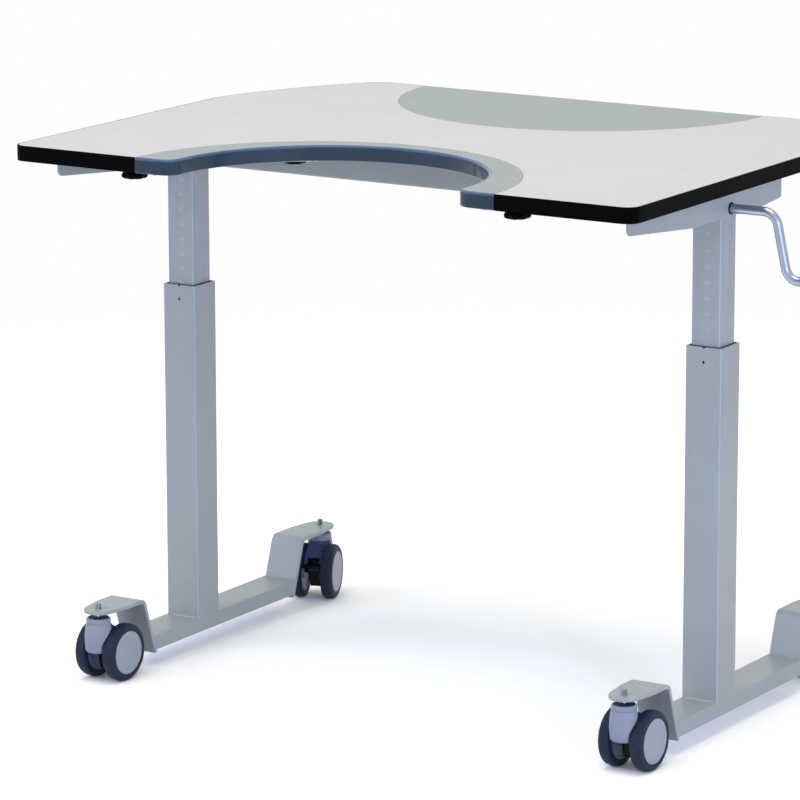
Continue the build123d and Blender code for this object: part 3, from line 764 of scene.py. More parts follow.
def skin(mesh: Mesh, rings: Sequence[Ring], place: Matrix) -> None:
    """Join rings of points into one closed surface. A ring of no size closes an end.

    Args:
        mesh: mesh that gets the faces.
        rings: rings with as many points each.
        place: turns the points into the model's frame.
    """
    rows = []
    for ring in rings:
        if (ring[0] - ring[len(ring) // 2]).length < SMALLEST_RING_MM:
            rows.append([mesh.verts.new(place @ ring[0])] * len(ring))
        else:
            rows.append([mesh.verts.new(place @ point) for point in ring])
    join(mesh, rows)


def turned(mesh: Mesh, profile: Iterable[tuple[float, float]], place: Matrix, steps: int) -> None:
    """Turn a profile of radius and height round Z."""
    skin(mesh, [circle(radius, height, steps) for radius, height in profile], place)


def place_at(origin: Vector, along: Vector | None = None) -> Matrix:
    """Placement for a shape drawn in millimetres round Z.

    Args:
        origin: where its zero goes, in metres.
        along: where its Z goes.

    Returns:
        The matrix, which also turns millimetres into metres.
    """
    turn = (along or Vector((0, 0, 1))).to_track_quat("Z", "Y").to_matrix().to_4x4()
    return Matrix.Translation(origin) @ turn @ Matrix.Scale(MM, 4)


def add_object(name: str, data: bpy.types.ID) -> bpy.types.Object:
    """Put an object with this data in the scene.

    Args:
        name: the object's name.
        data: its mesh, curve, lamp or lens.

    Returns:
        The new object.
    """
    made = bpy.data.objects.new(name, data)
    bpy.context.scene.collection.objects.link(made)
    return made


def middle(node: str) -> Vector:
    """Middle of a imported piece's box."""
    low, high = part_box(node)
    return (low + high) / 2


def clusters(node: bpy.types.Object, reach_mm: float) -> list[tuple[Vector, Vector]]:
    """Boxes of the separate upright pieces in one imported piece.

    Args:
        node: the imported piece.
        reach_mm: points closer than this, seen from above, belong together.

    Returns:
        Lowest and highest corner of each.
    """
    found: list[tuple[Vector, list[Vector]]] = []
    for vertex in node.data.vertices:
        for first, members in found:
            if (vertex.co.xy - first.xy).length < reach_mm * MM:
                members.append(vertex.co)
                break
        else:
            found.append((vertex.co, [vertex.co]))
    boxes = []
    for _, members in found:
        low = Vector(min(p[i] for p in members) for i in range(3))
        high = Vector(max(p[i] for p in members) for i in range(3))
        boxes.append((low, high))
    return boxes


@dataclass(frozen=True)
class WeldBead:
    """Fillet weld in the corner between two faces, with the ripples that the molten pool leaves.

    Attributes:
        leg_mm: how far the bead reaches on each face.
        ripple_mm: distance between ripples.
        ripple_share: height of a ripple, as a part of the leg.
        end_share: part of the leg that is left at the ends.
        run_in: how steeply the bead grows from its ends.
        hollow_share: part of the leg that is left between its middle and its toes.
        rows: rows of points in each ripple.
        least_rows: rows of points in the shortest bead.
        points: points across the bead's face.
    """

    leg_mm: float = 1.5
    ripple_mm: float = 1.4
    ripple_share: float = 0.09
    end_share: float = 0.35
    run_in: float = 12.0
    hollow_share: float = 0.78
    rows: int = 4
    least_rows: int = 8
    points: int = 6

    def lay(self, mesh: Mesh, line: tuple[Vector, Vector], first: Vector, second: Vector) -> None:
        """Lay the bead along a corner.

        Args:
            mesh: mesh that gets the bead.
            line: both ends of the corner.
            first: direction away from the corner on one face.
            second: direction away from the corner on the other face.
        """
        ripples = (line[1] - line[0]).length / (self.ripple_mm * MM)
        count = max(self.least_rows, round(ripples * self.rows))
        rows = []
        for i in range(count + 1):
            share = i / count
            taper = min(1.0, self.end_share + self.run_in * min(share, 1 - share))
            wave = 1 + self.ripple_share * math.sin(2 * math.pi * share * ripples)
            leg = self.leg_mm * MM * taper * wave
            centre = line[0].lerp(line[1], share)
            row = [mesh.verts.new(centre)]
            for step in range(self.points):
                turn = math.pi / 2 * step / (self.points - 1)
                bulge = self.hollow_share + (1 - self.hollow_share) * abs(math.cos(2 * turn))
                away = first * math.cos(turn) + second * math.sin(turn)
                row.append(mesh.verts.new(centre + away * leg * bulge))
            rows.append(row)
        join(mesh, rows)
        mesh.faces.new(rows[0])
        mesh.faces.new(rows[-1])


@dataclass(frozen=True)
class Thread:
    """Metric thread of a stud, round Z and in millimetres.

    Attributes:
        radius_mm: crest radius.
        pitch_mm: rise in one turn.
        depth_mm: crest to root.
        rows: rows of points in each turn.
    """

    radius_mm: float = 4.0
    pitch_mm: float = 1.25
    depth_mm: float = 0.55
    rows: int = 8

    def rings(self, start: float, end: float, steps: int) -> list[Ring]:
        """Rings of the thread from its start to its end, which has a chamfer.

        Args:
            start: height where the thread starts.
            end: height where it ends.
            steps: points in each ring.

        Returns:
            The rings.
        """
        made = []
        count = math.ceil((end - start) / self.pitch_mm * self.rows)
        for i in range(count + 1):
            height = start + (end - start) * i / count
            cap = self.radius_mm - self.depth_mm * max(0.0, 1 - (end - height) / self.depth_mm)
            ring = []
            for k, turn in enumerate(turns(steps)):
                phase = (height / self.pitch_mm - k / steps) % 1.0
                here = min(self.radius_mm - self.depth_mm * abs(2 * phase - 1), cap)
                ring.append(point_at(here, turn, height))
            made.append(ring)
        return made


# Sub-assemblies


@dataclass
class Shop:
    """What every sub-assembly works with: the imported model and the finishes.

    Attributes:
        nodes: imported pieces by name.
        joints: joints by name.
        finishes: materials by name of the finish.
        weld_mm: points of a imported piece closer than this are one.
        sharp_deg: edges sharper than this are rounded.
        round_steps: facets in each rounding.
    """

    nodes: dict[str, bpy.types.Object]
    joints: dict[str, dict[str, Any]]
    finishes: dict[str, bpy.types.Material]
    weld_mm: float = 0.002
    sharp_deg: float = 50.0
    round_steps: int = 3

    def finish(self, finish: Finish) -> bpy.types.Material:
        """The material of a finish, built once.

        Args:
            finish: the finish.

        Returns:
            Its material.
        """
        if finish.name not in self.finishes:
            self.finishes[finish.name] = finish.material()
        return self.finishes[finish.name]

    def dress(self, name: str, finish: Finish, round_mm: float = 0.0) -> None:
        """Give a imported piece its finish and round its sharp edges.

        Args:
            name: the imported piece.
            finish: its finish.
            round_mm: radius of the rounding, or zero for none.
        """
        node = self.nodes[name]
        node.data.materials.clear()
        node.data.materials.append(self.finish(finish))
        if round_mm:
            weld = node.modifiers.new("join_faces", "WELD")
            weld.merge_threshold = self.weld_mm * MM
            bevel = node.modifiers.new("broken_edges", "BEVEL")
            bevel.width = round_mm * MM
            bevel.segments = self.round_steps
            bevel.limit_method = "ANGLE"
            bevel.angle_limit = math.radians(self.sharp_deg)
            bevel.harden_normals = True
        LOG.info("dressed %s", name)

    def piece(
        self,
        name: str,
        body: str,
        slot: Slot,
        finish: Finish,
        mesh: Mesh,
        crease_deg: float = TURNED_CREASE_DEG,
        instead_of: str = "",
    ) -> None:
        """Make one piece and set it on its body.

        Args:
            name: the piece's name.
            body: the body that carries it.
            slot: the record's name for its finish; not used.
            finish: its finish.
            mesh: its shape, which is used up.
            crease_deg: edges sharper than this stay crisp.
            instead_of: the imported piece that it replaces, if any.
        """
        bmesh.ops.recalc_face_normals(mesh, faces=mesh.faces)
        data = bpy.data.meshes.new(name)
        mesh.to_mesh(data)
        mesh.free()
        data.shade_smooth()
        data.set_sharp_from_angle(angle=math.radians(crease_deg))
        data.materials.append(self.finish(finish))
        made = add_object(name, data)
        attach(made, body)
        if instead_of:
            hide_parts(instead_of)
        LOG.info("piece %s on %s", name, body)


@dataclass
class SubAssembly:
    """Part of the table that is dressed and detailed in one go."""

    shop: Shop

    def make(self) -> None:
        """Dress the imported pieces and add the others."""
        raise NotImplementedError


@dataclass
class TableTop(SubAssembly):
    """Board, edge strip and the two inserts, with the lugs and screws under them."""

    strip_edge_mm: float = 0.9
    lug_edge_mm: float = 0.4
    head_mm: float = 4.0
    head_height_mm: float = 2.2
    crown_share: float = 0.55
    shank_mm: float = 2.0
    point_mm: float = 1.0
    slot_mm: float = 0.55
    slot_reach_mm: float = 2.1
    slot_depth_mm: float = 1.3
    slot_taper_share: float = 0.6
    head_rings_mm: tuple[float, ...] = (0.0, 0.5, 0.8, 1.2, 1.6, 2.0, 2.2, 2.8, 3.4, 3.8, 4.0)
    apart_mm: float = 9.0
    steps: int = 32

    def make(self) -> None:
        """Dress the board and add its screws."""
        self.shop.dress("board", LAMINATE)
        self.shop.dress("edge_band", EDGE_STRIP, self.strip_edge_mm)
        for insert in ("front_insert", "rear_insert"):
            self.shop.dress(insert, LACQUER)
            self.shop.dress(f"{insert}_skin", FLATTED)
        self.shop.dress("insert_lugs", ZINC, self.lug_edge_mm)
        self.screws()

    def head_ring(self, radius: float) -> Ring:
        """Ring of a screw's domed head, pressed in where the cross recess runs.

        Args:
            radius: distance from the screw's axis.

        Returns:
            The ring.
        """
        crown = self.head_height_mm * (1 - self.crown_share * (radius / self.head_mm) ** 4)
        ring = circle(radius, crown, self.steps)
        for point in ring:
            if radius < self.slot_reach_mm and min(abs(point.x), abs(point.y)) < self.slot_mm:
                point.z -= self.slot_depth_mm * (1 - radius / self.slot_reach_mm * self.slot_taper_share)
        return ring

    def screws(self) -> None:
        """Model each screw: pan head, cross recess and shank."""
        mesh = bmesh.new()
        for low, high in clusters(self.shop.nodes["top_screws"], self.apart_mm):
            centre = (low + high) / 2
            seat = Vector((centre.x, centre.y, low.z + self.head_height_mm * MM))
            length = (high.z - seat.z) / MM
            rings = [self.head_ring(radius) for radius in self.head_rings_mm]
            shank = (
                (self.head_mm, 0.0), (self.shank_mm, 0.0),
                (self.shank_mm, self.point_mm - length), (0.0, -length),
            )
            rings += [circle(radius, height, self.steps) for radius, height in shank]
            skin(mesh, rings, place_at(seat, Vector((0, 0, -1))))
        self.shop.piece("underside_screws", "top", Slot.ZINC, ZINC, mesh, SCREW_CREASE_DEG, "top_screws")


@dataclass
class HandKnob(SubAssembly):
    """Lobed hand knob with a cap in its face and a stud that reaches into the insert.

    Attributes:
        knob: which of the four it is.
        cap_mm: radius and height of the cap in the face.
        face_edge_mm: how far the outline is drawn in on the way from the face to the wall, and the height.
        back_edge_mm: the same at the back, with the distance from the back.
    """

    knob: Knob
    radius_mm: float = 15.6
    lobe_mm: float = 1.3
    lobe_fade: float = 0.08
    lobe_width: float = 0.25
    lobes: int = 7
    height_mm: float = 8.0
    neck_mm: float = 11.0
    neck_taper_mm: float = 0.4
    neck_height_mm: float = 2.0
    stud_mm: float = 4.0
    steps: int = 84
    cap_mm: Profile = (
        (0.0, 0.9), (4.6, 0.9), (5.6, 0.7), (6.0, 0.2), (6.5, 0.1),
        (6.9, 0.7), (7.3, 1.1), (8.2, 0.9), (9.0, 0.3),
    )
    face_edge_mm: Profile = ((4.4, 0.0), (3.4, 0.12), (2.4, 0.56), (1.3, 1.2), (0.5, 2.0), (0.0, 3.2))
    back_edge_mm: Profile = ((0.0, 2.6), (0.5, 1.6), (1.5, 0.6), (3.0, 0.0))

    def lobed(self, inset: float, height: float) -> Ring:
        """Ring of the knob's outline.

        Args:
            inset: how far it is drawn in.
            height: where it lies.

        Returns:
            The ring.
        """
        lobe = self.lobe_mm * (1 - self.lobe_fade * inset)
        ring = []
        for turn in turns(self.steps):
            wave = math.cos(self.lobes * turn)
            radius = self.radius_mm + lobe * (wave + self.lobe_width * (1 - wave * wave)) - inset
            ring.append(point_at(radius, turn, height))
        return ring

    def make(self) -> None:
        """Model the knob in place of the plain one."""
        name = self.knob.value
        low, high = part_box(name)
        top, back = (high.z - low.z) / MM, self.height_mm + self.neck_height_mm
        rings = [circle(radius, height, self.steps) for radius, height in self.cap_mm]
        rings += [self.lobed(inset, height) for inset, height in self.face_edge_mm]
        rings += [self.lobed(inset, self.height_mm - drop) for inset, drop in self.back_edge_mm]
        neck = (
            (self.neck_mm, self.height_mm), (self.neck_mm - self.neck_taper_mm, back),
            (self.stud_mm, back), (self.stud_mm, top), (0.0, top),
        )
        rings += [circle(radius, height, self.steps) for radius, height in neck]
        mesh = bmesh.new()
        skin(mesh, rings, place_at(Vector(((low.x + high.x) / 2, (low.y + high.y) / 2, low.z))))
        self.shop.piece(f"{name}_lobed", name, Slot.PLASTIC, BLACK_NYLON, mesh, instead_of=name)


@dataclass
class UpperFrame(SubAssembly):
    """Arms, cross beam, inner tubes and the gear between them."""

    arm_edge_mm: float = 0.5
    block_edge_mm: float = 0.3
    beam_inset_mm: float = 3.0
    tube_inset_mm: float = 4.0

    def make(self) -> None:
        """Dress the frame under the board and lay its weld seams."""
        for side in Side:
            self.shop.dress(f"{side.value}_arm", POWDER, self.arm_edge_mm)
            self.shop.dress(f"{side.value}_inner_tube", DRAWN_TUBE)
            self.shop.dress(f"{side.value}_spindle", STEEL)
        self.shop.dress("cross_beam", POWDER)
        self.shop.dress("bearing_blocks", BLACK_NYLON, self.block_edge_mm)
        self.shop.dress("cross_shaft", STEEL)
        self.seams()

    def seams(self) -> None:
        """Weld the beam to the tubes and the tubes to the arms."""
        low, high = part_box("cross_beam")
        down, front = Vector((0, 0, -1)), Vector((0, -1, 0))
        inset, corner = self.beam_inset_mm * MM, self.tube_inset_mm * MM
        bead = WeldBead()
        mesh = bmesh.new()
        for side in Side:
            x = high.x if side is Side.RIGHT else low.x
            inward = Vector((-side.sign, 0, 0))
            under = Vector((x, low.y + inset, low.z)), Vector((x, high.y - inset, low.z))
            bead.lay(mesh, under, inward, down)
            for y, away in ((low.y, front), (high.y, -front)):
                bead.lay(mesh, (Vector((x, y, low.z + inset)), Vector((x, y, high.z - inset))), inward, away)
            tube_low, tube_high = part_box(f"{side.value}_inner_tube")
            for y, away in ((tube_low.y, front), (tube_high.y, -front)):
                ends = tube_low.x + corner, tube_high.x - corner
                bead.lay(mesh, tuple(Vector((end, y, tube_high.z)) for end in ends), away, down)
        self.shop.piece("upper_frame_welds", "top", Slot.PAINT, POWDER, mesh, WELD_CREASE_DEG)


@dataclass
class HeightScale(SubAssembly):
    """Figures printed on the front of an inner tube, which the outer tube's edge reads in centimetres."""

    side: Side
    first: int = 58
    last: int = 88
    step: int = 2
    unit_mm: float = 10.0
    figure_mm: float = 5.8
    figure_share: float = 0.72
    raise_mm: float = 0.8
    across_mm: float = 1.5
    thickness_mm: float = 0.04
    curve_steps: int = 3

    def make(self) -> None:
        """Print the figures, so that the one at the outer tube's edge is the height of the top."""
        low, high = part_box(f"{self.side.value}_inner_tube")
        read_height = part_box(f"{self.side.value}_outer_tube")[1].z
        board_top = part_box("board")[1].z
        middle_x = (low.x + high.x) / 2 + self.across_mm * MM
        figures = bpy.data.curves.new("figure", "FONT")
        figures.align_x = "CENTER"
        figures.align_y = "CENTER"
        figures.size = self.figure_mm * MM / self.figure_share
        figures.resolution_u = self.curve_steps
        carrier = add_object("figure", figures)
        upright = Matrix.Rotation(math.radians(90), 4, "X")
        mesh = bmesh.new()
        for number in range(self.first, self.last + 1, self.step):
            figures.body = str(number)
            bpy.context.view_layer.update()
            printed = carrier.evaluated_get(bpy.context.evaluated_depsgraph_get())
            flat = bpy.data.meshes.new_from_object(printed)
            height = read_height + board_top - number * self.unit_mm * MM + self.raise_mm * MM
            flat.transform(Matrix.Translation((middle_x, low.y - self.thickness_mm * MM, height)) @ upright)
            mesh.from_mesh(flat)
            bpy.data.meshes.remove(flat)
        self.shop.piece(f"{self.side.value}_height_scale", "top", Slot.PAINT, SCALE_INK, mesh)
        bpy.data.objects.remove(carrier)
        bpy.data.curves.remove(figures)


@dataclass
class Crank(SubAssembly):
    """Crank rod with its turning grip.

    Attributes:
        bore_mm: radius of the hole for the rod.
        edge_mm: how far the grip's rounded edge lies below its radius, and from its end.
        crown_mm: how much thicker the grip is in its middle.
        inset_mm: length of its plain ends.
        ribs: how many ribs there are near each end.
        ribs_from_mm: where they begin.
        rib_mm: width of a rib and of a groove.
        groove_mm: depth of a groove.
    """

    bore_mm: float = 6.1
    edge_mm: Profile = ((2.6, 0.0), (1.6, 0.5))
    shoulder_mm: tuple[float, float] = (1.1, 1.6)
    crown_mm: float = 1.5
    inset_mm: float = 3.0
    ribs: int = 5
    ribs_from_mm: float = 6.0
    rib_mm: float = 1.4
    groove_mm: float = 0.45
    rows: int = 60
    steps: int = 56

    def crowned(self, radius: float, length: float) -> list[tuple[float, float]]:
        """Profile of the grip's crowned and ribbed middle.

        Args:
            radius: the grip's largest radius, in millimetres.
            length: its length.

        Returns:
            Radius and place along the grip.
        """
        profile = []
        ribs_to = self.ribs_from_mm + 2 * self.ribs * self.rib_mm
        for i in range(self.rows + 1):
            share = i / self.rows
            along = self.inset_mm + (length - 2 * self.inset_mm) * share
            from_end = min(along, length - along)
            count = int((from_end - self.ribs_from_mm) / self.rib_mm)
            in_groove = self.ribs_from_mm < from_end < ribs_to and count % 2
            crown = radius - self.crown_mm + self.crown_mm * math.sin(math.pi * share)
            profile.append((crown - (self.groove_mm if in_groove else 0.0), along))
        return profile

    def make(self) -> None:
        """Dress the rod and model the ribbed grip."""
        self.shop.dress("crank_rod", CHROME)
        low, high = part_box("crank_grip")
        length, radius = (high.x - low.x) / MM, (high.z - low.z) / 2 / MM
        start = [(radius - drop, along) for drop, along in (*self.edge_mm, self.shoulder_mm)]
        end = [(radius - drop, length - along) for drop, along in reversed(self.edge_mm)]
        bore = [(self.bore_mm, length), (self.bore_mm, 0.0)]
        mesh = bmesh.new()
        origin = Vector((low.x, (low.y + high.y) / 2, (low.z + high.z) / 2))
        profile = [bore[-1], *start, *self.crowned(radius, length), *end, *bore]
        turned(mesh, profile, place_at(origin, Vector((1, 0, 0))), self.steps)
        name = "crank_grip"
        self.shop.piece(f"ribbed_{name}", name, Slot.GRIP, BLACK_NYLON, mesh, instead_of=name)


@dataclass
class Leg(SubAssembly):
    """Outer tube with its guide, the foot, its brackets and the caster studs.

    Attributes:
        side: which leg it is.
        collar_mm: heights on the hexagon and how far its corners are turned off there.
    """

    side: Side
    guide_edge_mm: float = 0.2
    foot_edge_mm: float = 0.8
    bracket_edge_mm: float = 0.7
    bead: WeldBead = WeldBead(leg_mm=1.6)
    tube_inset_mm: float = 4.0
    foot_inset_mm: float = 2.0
    thread: Thread = Thread()
    thread_from_mm: float = 97.5
    run_out_mm: float = 0.2
    chamfer_mm: float = 0.6
    hex_mm: float = 6.5
    collar_mm: Profile = ((89.4, 1.7), (89.9, 0.9), (90.6, 0.3), (93.6, 0.0), (94.0, 0.7))
    apart_mm: float = 40.0
    steps: int = 36

    def make(self) -> None:
        """Dress the leg and add its seams and studs."""
        name = self.side.value
        self.shop.dress(f"{name}_outer_tube", TUBE_POWDER)
        self.shop.dress(f"{name}_column_guide", BLACK_NYLON, self.guide_edge_mm)
        self.shop.dress(f"{name}_nut_tube", STEEL)
        self.shop.dress(f"{name}_foot", POWDER, self.foot_edge_mm)
        self.shop.dress(f"{name}_foot_brackets", POWDER, self.bracket_edge_mm)
        self.seams()
        self.studs()

    def seams(self) -> None:
        """Weld the column to the foot, and the foot to its brackets."""
        name = self.side.value
        low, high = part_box(f"{name}_outer_tube")
        foot_low, foot_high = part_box(f"{name}_foot")
        up, back = Vector((0, 0, 1)), Vector((0, 1, 0))
        tube_inset, foot_inset = self.tube_inset_mm * MM, self.foot_inset_mm * MM
        column = (low.x + tube_inset, high.x - tube_inset, low.z)
        foot = (foot_low.x + foot_inset, foot_high.x - foot_inset, foot_high.z)
        mesh = bmesh.new()
        for (left, right, height), y, away in (
            (column, low.y, -back),
            (column, high.y, back),
            (foot, foot_low.y, back),
            (foot, foot_high.y, -back),
        ):
            self.bead.lay(mesh, (Vector((left, y, height)), Vector((right, y, height))), away, up)
        self.shop.piece(f"{name}_foot_welds", f"{name}_leg", Slot.PAINT, POWDER, mesh, WELD_CREASE_DEG)

    def hexagon(self, height: float, chamfer: float) -> Ring:
        """Ring of the stud's hexagon.

        Args:
            height: where it lies.
            chamfer: how far its corners are turned off.

        Returns:
            The ring.
        """
        sixth = math.pi / 3
        limit = self.hex_mm / math.cos(sixth / 2) - chamfer
        ring = []
        for turn in turns(self.steps):
            from_flat = (turn + sixth / 2) % sixth - sixth / 2
            ring.append(point_at(min(self.hex_mm / math.cos(from_flat), limit), turn, height))
        return ring

    def studs(self) -> None:
        """Model the studs: plain shank, hexagonal collar and the threaded end above the bracket."""
        name, radius = self.side.value, self.thread.radius_mm
        bottom_mm, top_mm = self.collar_mm[0][0], self.collar_mm[-1][0]
        bored_top, bored_bottom = (circle(radius, height, self.steps) for height in (top_mm, bottom_mm))
        collar = [bored_bottom, *(self.hexagon(height, chamfer) for height, chamfer in self.collar_mm)]
        collar += [bored_top, bored_bottom]
        studs, collars = bmesh.new(), bmesh.new()
        for low, high in clusters(self.shop.nodes[f"{name}_caster_stems"], self.apart_mm):
            place = place_at(Vector(((low.x + high.x) / 2, (low.y + high.y) / 2, 0)))
            start, end = low.z / MM, high.z / MM
            shank = (
                (0.0, start), (radius - self.chamfer_mm, start), (radius, start + self.chamfer_mm),
                (radius, self.thread_from_mm),
            )
            rings = [circle(here, height, self.steps) for here, height in shank]
            rings += self.thread.rings(self.thread_from_mm + self.run_out_mm, end, self.steps)
            skin(studs, [*rings, circle(0.0, end, self.steps)], place)
            skin(collars, collar, place)
        leg, stems = f"{name}_leg", f"{name}_caster_stems"
        # the threads' darker zinc is a painted dark reflection
        self.shop.piece(f"{name}_threaded_studs", leg, Slot.ZINC, ZINC_WITH_PAINTED_REFLECTION, studs, STUD_CREASE_DEG, stems)
        self.shop.piece(f"{name}_stud_collars", leg, Slot.ZINC, NICKEL, collars, STUD_CREASE_DEG)


@dataclass
class Caster(SubAssembly):
    """Twin-wheel caster: body with a seal round its stud, brake pedal and two wheels.

    Attributes:
        corner: which caster it is.
        half_mm: half of a wheel's width.
        groove_mm: groove beside the disc, beyond the tyre's bore and below its face.
        inner_shoulder_mm: small shoulder of the tyre, below its radius and above its inner face.
        disc_face_mm: radius on the disc, and depth below the wheel's outer face.
        core_face_mm: radius on the core, and height above the wheel's inner face.
        seal_outer_mm: the seal's edge, below its radius, and height.
        seal_inner_mm: the seal's lip, beyond its bore, and height.
    """

    corner: Corner
    wheel_mm: float = 38.0
    half_mm: float = 8.25
    shoulder_mm: float = 5.5
    shoulder_steps: int = 8
    bore_mm: float = 29.0
    axle_mm: float = 4.05
    disc_gap_mm: float = 0.05
    disc_edge_mm: float = 1.1
    disc_mm: float = 2.4
    core_edge_mm: float = 0.8
    core_boss_mm: float = 1.0
    pedal_edge_mm: float = 0.5
    hood_from_mm: float = 5.0
    seal_from_mm: float = 86.25
    seal_mm: float = 13.5
    seal_bore_mm: float = 4.2
    steps: int = 96
    groove_mm: Profile = ((0.0, 0.0), (0.4, 0.0), (0.7, 0.35), (1.1, 0.0))
    inner_shoulder_mm: Profile = ((0.0, 3.0), (0.25, 1.9), (0.9, 0.9), (1.9, 0.25), (3.0, 0.0))
    disc_face_mm: Profile = (
        (0.0, 0.45), (9.0, 0.4), (18.0, 0.25), (25.0, 0.05), (27.2, 0.0), (28.0, 0.1), (28.5, 0.45)
    )
    core_face_mm: Profile = (
        (27.6, 0.6), (26.8, 0.9), (25.6, 2.6), (12.4, 3.2), (11.4, 1.8), (10.6, 1.1), (7.0, 1.0)
    )
    seal_outer_mm: Profile = ((0.0, 0.0), (0.0, 0.2), (0.6, 0.3), (3.0, 0.3))
    seal_inner_mm: Profile = ((2.4, 0.4), (1.4, 0.8), (0.6, 1.0), (0.1, 0.8), (0.0, 0.4), (0.0, 0.0))

    def make(self) -> None:
        """Dress the body and the pedal, and model the seal and both wheels."""
        name = self.corner.value
        outer, inner = middle(f"{name}_outer_tyre"), middle(f"{name}_inner_tyre")
        stand = Vector(self.shop.joints[f"{name}_swivel"]["pos_m"])
        trail = (outer + inner) / 2 - stand
        trail.z = 0.0
        trail.normalize()
        nylon = replace(
            GREY_NYLON,
            name=f"{name}_{GREY_NYLON.name}",
            trail=tuple(trail),
            hood_from=trail.dot(stand) + self.hood_from_mm * MM,
        )
        # the housing's slate hood and black web are painted shade
        self.shop.dress(f"{name}_caster_housing", nylon)
        self.shop.dress(f"{name}_brake_pedal", PEDAL_NYLON, self.pedal_edge_mm)
        self.seal(stand)
        away = (outer - inner).normalized()
        self.wheel("outer", outer, away)
        self.wheel("inner", inner, -away)

    def seal(self, stand: Vector) -> None:
        """Model the rubber seal that lies in the dish round the stud.

        Args:
            stand: a point on the stud's axis.
        """
        lip = [(self.seal_bore_mm, 0.0)]
        lip += [(self.seal_mm - inset, height) for inset, height in self.seal_outer_mm]
        lip += [(self.seal_bore_mm + beyond, height) for beyond, height in self.seal_inner_mm]
        mesh = bmesh.new()
        turned(mesh, lip, place_at(Vector((stand.x, stand.y, self.seal_from_mm * MM))), self.steps)
        name, body = f"{self.corner.value}_stud_seal", f"{self.corner.value}_caster"
        self.shop.piece(name, body, Slot.PLASTIC, SEAL_RUBBER, mesh, RUBBER_CREASE_DEG)

    def tread(self) -> list[tuple[float, float]]:
        """Profile of the tyre: groove, round outer shoulder, flat tread and small inner shoulder.

        Returns:
            Radius and place across the wheel.
        """
        half, rim, bore, shoulder = self.half_mm, self.wheel_mm, self.bore_mm, self.shoulder_mm
        profile = [(bore + beyond, half - depth) for beyond, depth in self.groove_mm]
        for step in range(self.shoulder_steps + 1):
            turn = math.pi / 2 * step / self.shoulder_steps
            profile.append((rim - shoulder * (1 - math.sin(turn)), half - shoulder * (1 - math.cos(turn))))
        profile.append((rim, 0.0))
        profile += [(rim - inset, height - half) for inset, height in self.inner_shoulder_mm]
        return [*profile, (bore, -half), (bore, half)]

    def wheel(self, which: str, centre: Vector, away: Vector) -> None:
        """Model one wheel: a tyre, a smooth cover disc and the core behind it.

        Args:
            which: outer or inner.
            centre: the wheel's middle.
            away: direction from the caster's middle plane to the disc.
        """
        name = f"{self.corner.value}_{which}"
        body, half, axle = f"{name}_wheel", self.half_mm, self.axle_mm
        rim, back = self.bore_mm - self.disc_gap_mm, self.half_mm - self.disc_mm
        disc = [(radius, half - depth) for radius, depth in self.disc_face_mm]
        disc += [(rim, half - self.disc_edge_mm), (rim, back), (0.0, back)]
        core = [(axle, back), (rim, back), (rim, self.core_edge_mm - half)]
        core += [(radius, height - half) for radius, height in self.core_face_mm]
        core += [(axle, self.core_boss_mm - half), (axle, back)]
        for part, profile, slot, finish, crease, replaced in (
            ("tread", self.tread(), Slot.TYRE, TYRE_RUBBER, RUBBER_CREASE_DEG, f"{name}_tyre"),
            ("disc", disc, Slot.HUB, HUB_PLASTIC, TURNED_CREASE_DEG, f"{name}_hub"),
            ("core", core, Slot.HUB, CORE_PLASTIC, TURNED_CREASE_DEG, ""),
        ):
            mesh = bmesh.new()
            turned(mesh, profile, place_at(centre, away), self.steps)
            self.shop.piece(f"{body}_{part}", body, slot, finish, mesh, crease, replaced)


# Studio


def direction(azimuth_deg: float, height_deg: float) -> Vector:
    """Direction so many degrees to the right of the front and above the level.

    Args:
        azimuth_deg: turn to the right of the front.
        height_deg: rise above the level.

    Returns:
        The direction, of length one.
    """
    across, up = math.radians(azimuth_deg), math.radians(height_deg)
    return Vector((math.sin(across) * math.cos(up), -math.cos(across) * math.cos(up), math.sin(up)))


@dataclass(frozen=True)
class SoftBox:
    """Square lamp that looks at the table.

    Attributes:
        name: the lamp's name.
        azimuth_deg: how far it hangs to the right of the front.
        height_deg: how far it hangs above the level.
        distance: from the point that it looks at.
        size: length of its side.
        power: in watts.
        tint: colour of its light.
    """

    name: str
    azimuth_deg: float
    height_deg: float
    distance: float
    size: float
    power: float
    tint: tuple[float, float, float]

    def hang(self, aim: Vector) -> None:
        """Hang the lamp.

        Args:
            aim: the point that it looks at.
        """
        lamp = bpy.data.lights.new(self.name, "AREA")
        lamp.shape = "SQUARE"
        lamp.size = self.size
        lamp.energy = self.power
        lamp.color = self.tint
        way = direction(self.azimuth_deg, self.height_deg)
        stand = add_object(self.name, lamp)
        stand.location = aim + way * self.distance
        stand.rotation_euler = (-way).to_track_quat("-Z", "Y").to_euler()


